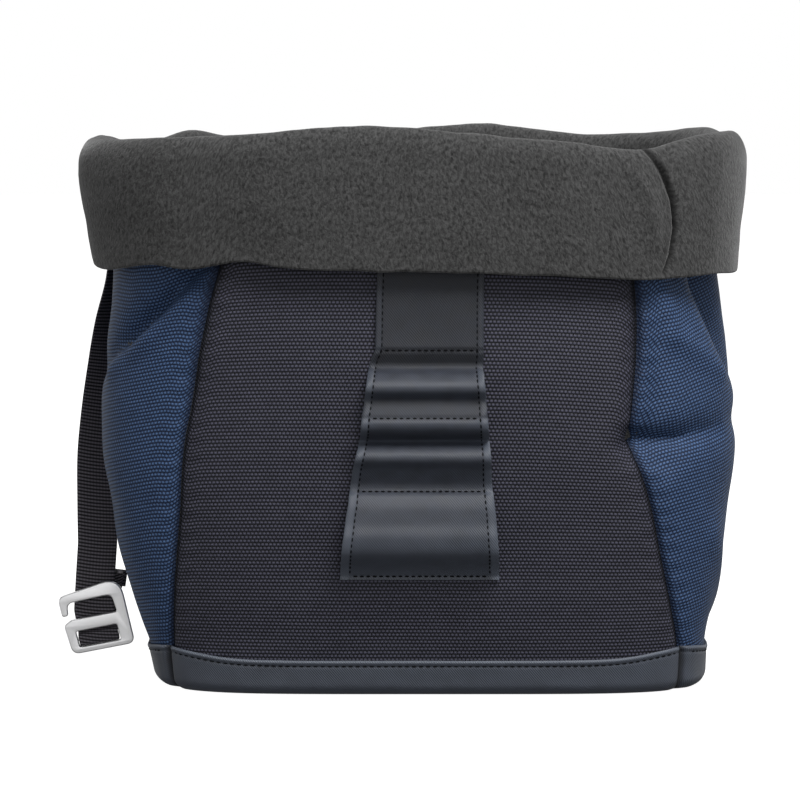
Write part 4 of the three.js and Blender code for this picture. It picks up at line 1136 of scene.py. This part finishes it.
@dataclass
class GHook:
    """A flat hook cut from plate: an open slot above, a window below, all edges rounded over."""

    form: BagForm
    frame: HookFrame
    edge: float = 0.6
    ease: float = 0.6

    def path(self, corners: list[tuple[float, float, float]]) -> list[tuple[float, float]]:
        """Gives a closed outline with rounded corners.

        Args:
            corners: x, y and corner radius of each.

        Returns:
            The outline's points in order.
        """
        made = []
        for i, (x, y, radius) in enumerate(corners):
            here = Vector((x, y))
            ends = []
            for other in (corners[i - 1], corners[(i + 1) % len(corners)]):
                way = Vector(other[:2]) - here
                ends.append(here + way.normalized() * min(radius, way.length / 2))
            for step in range(9):
                t = step / 8
                made.append(tuple(ends[0] * (1 - t) ** 2 + here * 2 * t * (1 - t) + ends[1] * t**2))
        return made

    def build(self, maker: Maker) -> None:
        """Builds the plate and the bar inside its window."""
        f = self.frame
        left, right, half = -f.width / 2, f.width / 2, f.window / 2
        foot, slot_foot = -half - f.foot_bar, half + f.mid_bar
        slot_top, slot_right = half + f.mid_bar + f.slot, right - f.leg
        e = self.ease
        outline = self.path([
            (left + 2.2, foot, 4), (right, foot, 4), (right - 1.4, slot_top + f.top_bar, 10),
            (left, slot_top + f.tip_drop, 3.5), (left + e, slot_foot + f.lip_fall, 1.2),
            (left + f.lip - e, slot_foot + f.lip_fall, 1.2), (left + f.lip, slot_top - e, 3),
            (slot_right - e, slot_top, 3), (slot_right + e, slot_foot, 1.2),
            (left + f.lip + e, slot_foot, 1.2), (left + e, slot_foot - f.lip_fall, 1.2)])
        hole = self.path([
            (left + f.left_leg, half, 1.2), (slot_right - e, half, 1.2),
            (slot_right, -half, 1.2), (left + f.left_leg + e, -half, 1.2)])
        curve = bpy.data.curves.new("hook_outline", "CURVE")
        curve.dimensions = "2D"
        curve.fill_mode = "BOTH"
        for points in (outline, hole):
            spline = curve.splines.new("POLY")
            spline.points.add(len(points) - 1)
            for point, (x, y) in zip(spline.points, points):
                point.co = (x * MM, y * MM, 0, 1)
            spline.use_cyclic_u = True
        curve.extrude = (f.plate / 2 - self.edge) * MM
        curve.bevel_depth = self.edge * MM
        curve.bevel_resolution = 3
        curve.offset = -self.edge * MM
        drawn = add_object("hook_outline", curve)
        mesh = bpy.data.meshes.new_from_object(drawn.evaluated_get(bpy.context.evaluated_depsgraph_get()))
        bm = bmesh.new()
        bm.from_mesh(mesh)
        bpy.data.objects.remove(drawn)
        bmesh.ops.remove_doubles(bm, verts=bm.verts[:], dist=1e-6)
        bmesh.ops.translate(bm, verts=bm.verts[:], vec=(0, 0, f.plate / 2 * MM))
        size = Vector((f.width - f.left_leg - f.leg / 2, 2 * f.bar_half, f.bar_thick)) * MM
        centre = Vector((f.window_middle, 0, f.bar_thick / 2 + self.form.gap)) * MM
        shape = Matrix.Translation(centre) @ Matrix.Diagonal((*size, 1))
        bar = bmesh.ops.create_cube(bm, size=1.0, matrix=shape)["verts"]
        edges = list({edge for vert in bar for edge in vert.link_edges})
        bmesh.ops.bevel(bm, geom=edges, offset=0.3 * MM, offset_type="OFFSET", affect="EDGES", segments=2,
                        profile=0.5, material=-1)
        bmesh.ops.recalc_face_normals(bm, faces=bm.faces[:])
        place = self.frame.matrix(self.form)
        place.translation = place.translation * MM
        bmesh.ops.transform(bm, matrix=place @ Matrix.Rotation(math.pi / 2, 4, "X"), verts=bm.verts[:])
        maker.piece("g_hook_plate", bm, "satin_aluminium", ("g_hook",), sharp=35)


@dataclass
class HangingStrap:
    """Ribbed webbing from under the cuff down to the hook, round its bar and up again as a folded tail."""

    form: BagForm
    frame: HookFrame
    width: float = 20
    thick: float = 1.2
    behind: float = 1.6
    seat: float = 0.5
    loop_clear: float = 0.7
    sewn_turn: float = math.radians(174.5)
    tail_length: float = 29
    tail_lean: float = math.radians(19.3)
    tail_kick: float = 7
    sewn_top: float = 0.985

    def free_rows(self) -> tuple[list[np.ndarray], list[np.ndarray]]:
        """Gives the middles and the sideways directions of its rows down to the hook."""
        form, middles, ways = self.form, [], []
        out, back, twist = (Curve(STRAP[:, 0], STRAP[:, k]) for k in (1, 2, 3))
        reach = self.width / 2 / form.half_width
        for share in np.linspace(self.sewn_top, STRAP[-1, 0], 80):
            z = np.array([share * form.wall_height] * 3)
            turns = self.sewn_turn + np.array([-reach, 0, reach])
            held = form.wall(turns, z, self.seat + self.thick / 2)
            side = (held[0] - held[2]) / np.linalg.norm(held[0] - held[2])
            angle = math.radians(float(twist(share)))
            place = (form.half_width * float(out(share)), form.half_depth * float(back(share)), z[0])
            loose = np.array(place)
            sewn = smoothstep(share, STRAP[1, 0], STRAP[0, 0])
            middles.append(mix(loose, held[1], sewn))
            way = mix(np.array([math.cos(angle), math.sin(angle), 0]), side, sewn)
            ways.append(way / np.linalg.norm(way))
        return middles, ways

    def hook_rows(self) -> tuple[list[np.ndarray], list[np.ndarray]]:
        """Gives the rows that go down behind the plate, round the bar and up again as the tail."""
        f, gap, half = self.frame, self.form.gap, self.thick / 2
        back = self.behind + half
        tail = back + self.thick + gap
        wrap = f.bar_half + gap + half
        front = gap + f.bar_thick + gap + half
        low = f.window / 2 - self.loop_clear
        rows = [(-back, f.window / 2 + f.mid_bar + 4, 0), (-back, f.window / 2 + half + gap, 0),
                (-back * 0.55, wrap + 0.9, 0), (gap, wrap + 0.1, 0), (gap + f.bar_thick, wrap, 0),
                (front * 0.91, wrap - 0.4, 0), (front, wrap * 0.4, 0), (front, -low * 0.6, 0),
                (front * 0.91, -low + 0.4, 0), (gap + f.bar_thick, -low, 0), (gap, -low - 0.1, 0),
                (-tail * 0.55, -wrap - 0.6, 0), (-tail * 0.9, -wrap + 1.1, 0.02), (-tail, wrap + 1.4, 0.12)]
        rows += [(-tail - self.tail_kick * s, wrap + self.tail_length * s, mix(0.12, 1, s))
                 for s in (0.3, 0.6, 0.8, 0.93, 1.0)]
        tail, end = tail + self.tail_kick, wrap + self.tail_length
        rows += [(-tail - 0.9, end + 0.3, 1), (-tail - 1.5, end - 0.8, 1), (-tail - 0.9, end - 4, 1),
                 (-tail - 0.2, end - 8, 1)]
        matrix = f.matrix(self.form)
        middles, ways = [], []
        for y, v, lean in rows:
            angle = self.tail_lean * lean
            shift = math.sin(angle) * max(0.0, v)
            middles.append(np.array(matrix @ Vector((f.window_middle + shift, -y, v))))
            ways.append(np.array(matrix.to_3x3() @ Vector((math.cos(angle), 0, -math.sin(angle)))))
        return middles, ways

    def eased(self, rows: np.ndarray, reach: np.ndarray, fine: np.ndarray, passes: int) -> np.ndarray:
        """Gives the rows at closer steps, with their corners rounded.

        Args:
            rows: a vector for each row.
            reach: the rows' distances along the webbing.
            fine: the distances wanted.
            passes: how often neighbours are averaged, more for softer corners.

        Returns:
            A vector at each distance.
        """
        made = np.stack([np.interp(fine, reach, rows[:, k]) for k in range(3)], axis=-1)
        for _ in range(passes):
            made[1:-1] = (made[:-2] + 2 * made[1:-1] + made[2:]) / 4
        return made

    def build(self, maker: Maker) -> None:
        """Builds the webbing through all its rows."""
        free, hook = self.free_rows(), self.hook_rows()
        middles = np.array(free[0] + hook[0])
        ways = np.array(free[1] + hook[1])
        reach = lengths_along(middles[None], 1)[0]
        fine = np.arange(0, reach[-1], 0.4)
        hooked = smoothstep(fine, reach[len(free[0])] - 6, reach[len(free[0])] + 4)[:, None]
        middle, way = (mix(self.eased(rows, reach, fine, 14), self.eased(rows, reach, fine, 2), hooked)
                       for rows in (middles, ways))
        way = way / np.linalg.norm(way, axis=-1, keepdims=True)
        along = np.gradient(middle, axis=0)
        normal = np.cross(along, way)
        normal = normal / np.linalg.norm(normal, axis=-1, keepdims=True)
        shares = np.array([-1, -0.97, -0.8, -0.4, 0, 0.4, 0.8, 0.97, 1])
        edge = 0.25 * (np.abs(shares) > 0.99) + 0.05 * (np.abs(shares) > 0.9)
        points = (middle[:, None] + way[:, None] * shares[None, :, None] * self.width / 2
                  + normal[:, None] * (self.thick / 2 - edge)[None, :, None])
        bm = sheet_mesh(points[:, ::-1], thickness=self.thick - self.form.shrink)
        maker.piece("hanging_strap_webbing", bm, "webbing", ("strap",))


@dataclass
class Studio:
    """A pale floor, soft lights and the camera at the photograph's place."""

    aim: tuple[float, float, float] = (-12.4, 0.0, 133.0)
    eye: tuple[float, float, float] = (-12.4, -1400.0, 258.0)
    lens: float = 127.3
    floor_radius: float = 14
    rim: float = 12.5

    # Each light's place in metres, the side of its square and its power in watts.
    lights: ClassVar[dict[str, tuple]] = {
        "key_light": ((0.5, -0.9, 1.7), 0.8, 38),
        "front_light": ((0.1, -2.4, 0.8), 1.0, 6),
        "back_light": ((-0.3, 1.4, 1.5), 1.0, 10),
    }

    def floor(self, paper: bpy.types.Material) -> None:
        """Lays the paper floor, which gives the bag no light of its own."""
        bm = bmesh.new()
        bmesh.ops.create_circle(bm, cap_ends=True, segments=96, radius=self.floor_radius)
        bmesh.ops.inset_region(bm, faces=bm.faces[:], thickness=self.rim)
        mesh = bpy.data.meshes.new("studio_floor")
        bm.to_mesh(mesh)
        bm.free()
        made = add_object("studio_floor", mesh)
        mesh.materials.append(paper)
        made.visible_diffuse = False
        made.visible_glossy = False

    def air(self) -> None:
        """Makes the air: white at the horizon, dimmer overhead and darkest below, so undersides stay dark."""
        world = bpy.data.worlds.new("studio_air")
        bpy.context.scene.world = world
        world.use_nodes = True
        tree = world.node_tree
        tree.nodes.clear()
        way = add_node(tree, "SeparateXYZ", (add_node(tree, "TexCoord").outputs["Generated"],))
        rise = add_node(tree, "MapRange", (way.outputs[2], -0.42, -0.03, 0.12, 1.0))
        fall = add_node(tree, "MapRange", (way.outputs[2], 0.06, 0.14, 1.0, 0.36))
        strength = add_node(tree, "Math", (rise, fall), operation="MULTIPLY")
        glow = add_node(tree, "Background", {"Color": "#ffffff", "Strength": strength})
        add_node(tree, "OutputWorld", {"Surface": glow})

    def build(self, paper: bpy.types.Material) -> None:
        """Sets the whole scene round the bag."""
        self.floor(paper)
        self.air()
        for name, (place, size, power) in self.lights.items():
            lamp = bpy.data.lights.new(name, "AREA")
            lamp.size = size
            lamp.energy = power
            self.turn_to(add_object(name, lamp), Vector(place), Vector((0, 0, 0.13)))
        camera = bpy.data.cameras.new("camera")
        camera.lens = self.lens
        camera.sensor_width = 36
        camera.clip_start = 0.05
        made = add_object("camera", camera)
        self.turn_to(made, Vector(self.eye) * MM, Vector(self.aim) * MM)
        bpy.context.scene.camera = made
        bpy.context.scene.view_settings.view_transform = "Standard"

    def turn_to(self, thing: bpy.types.Object, place: Vector, aim: Vector) -> None:
        """Puts a light or the camera at its place, facing its aim."""
        thing.location = place
        thing.rotation_euler = (aim - place).to_track_quat("-Z", "Y").to_euler()


def main() -> None:
    """Builds the bag piece by piece and its studio."""
    logging.basicConfig(level=logging.INFO, format="%(name)s: %(message)s")
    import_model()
    kinds = [
        WovenNylon("black_weave"),
        WovenNylon("navy_weave", weft="#4b668f", warp="#22385c", ground="#09142a"),
        Fleece("fleece"),
        CoatedFabric("coated_fabric"),
        Webbing("webbing"),
        SatinAluminium("satin_aluminium"),
        SewingThread("sewing_thread"),
        StudioPaper("studio_paper"),
    ]
    maker = Maker({kind.name: kind.material() for kind in kinds})
    Studio().build(maker.finishes["studio_paper"])
    form = BagForm()
    stitches = bmesh.new()
    WovenWalls(form).build(maker)
    FootBands(form).build(maker, stitches)
    FleeceLining(form).build(maker)
    ClosureLadder(form).build(maker, stitches)
    maker.piece("stitching", stitches, "sewing_thread", sharp=180)
    hook = HookFrame()
    GHook(form, hook).build(maker)
    HangingStrap(form, hook).build(maker)


if __name__ == "__main__":
    main()
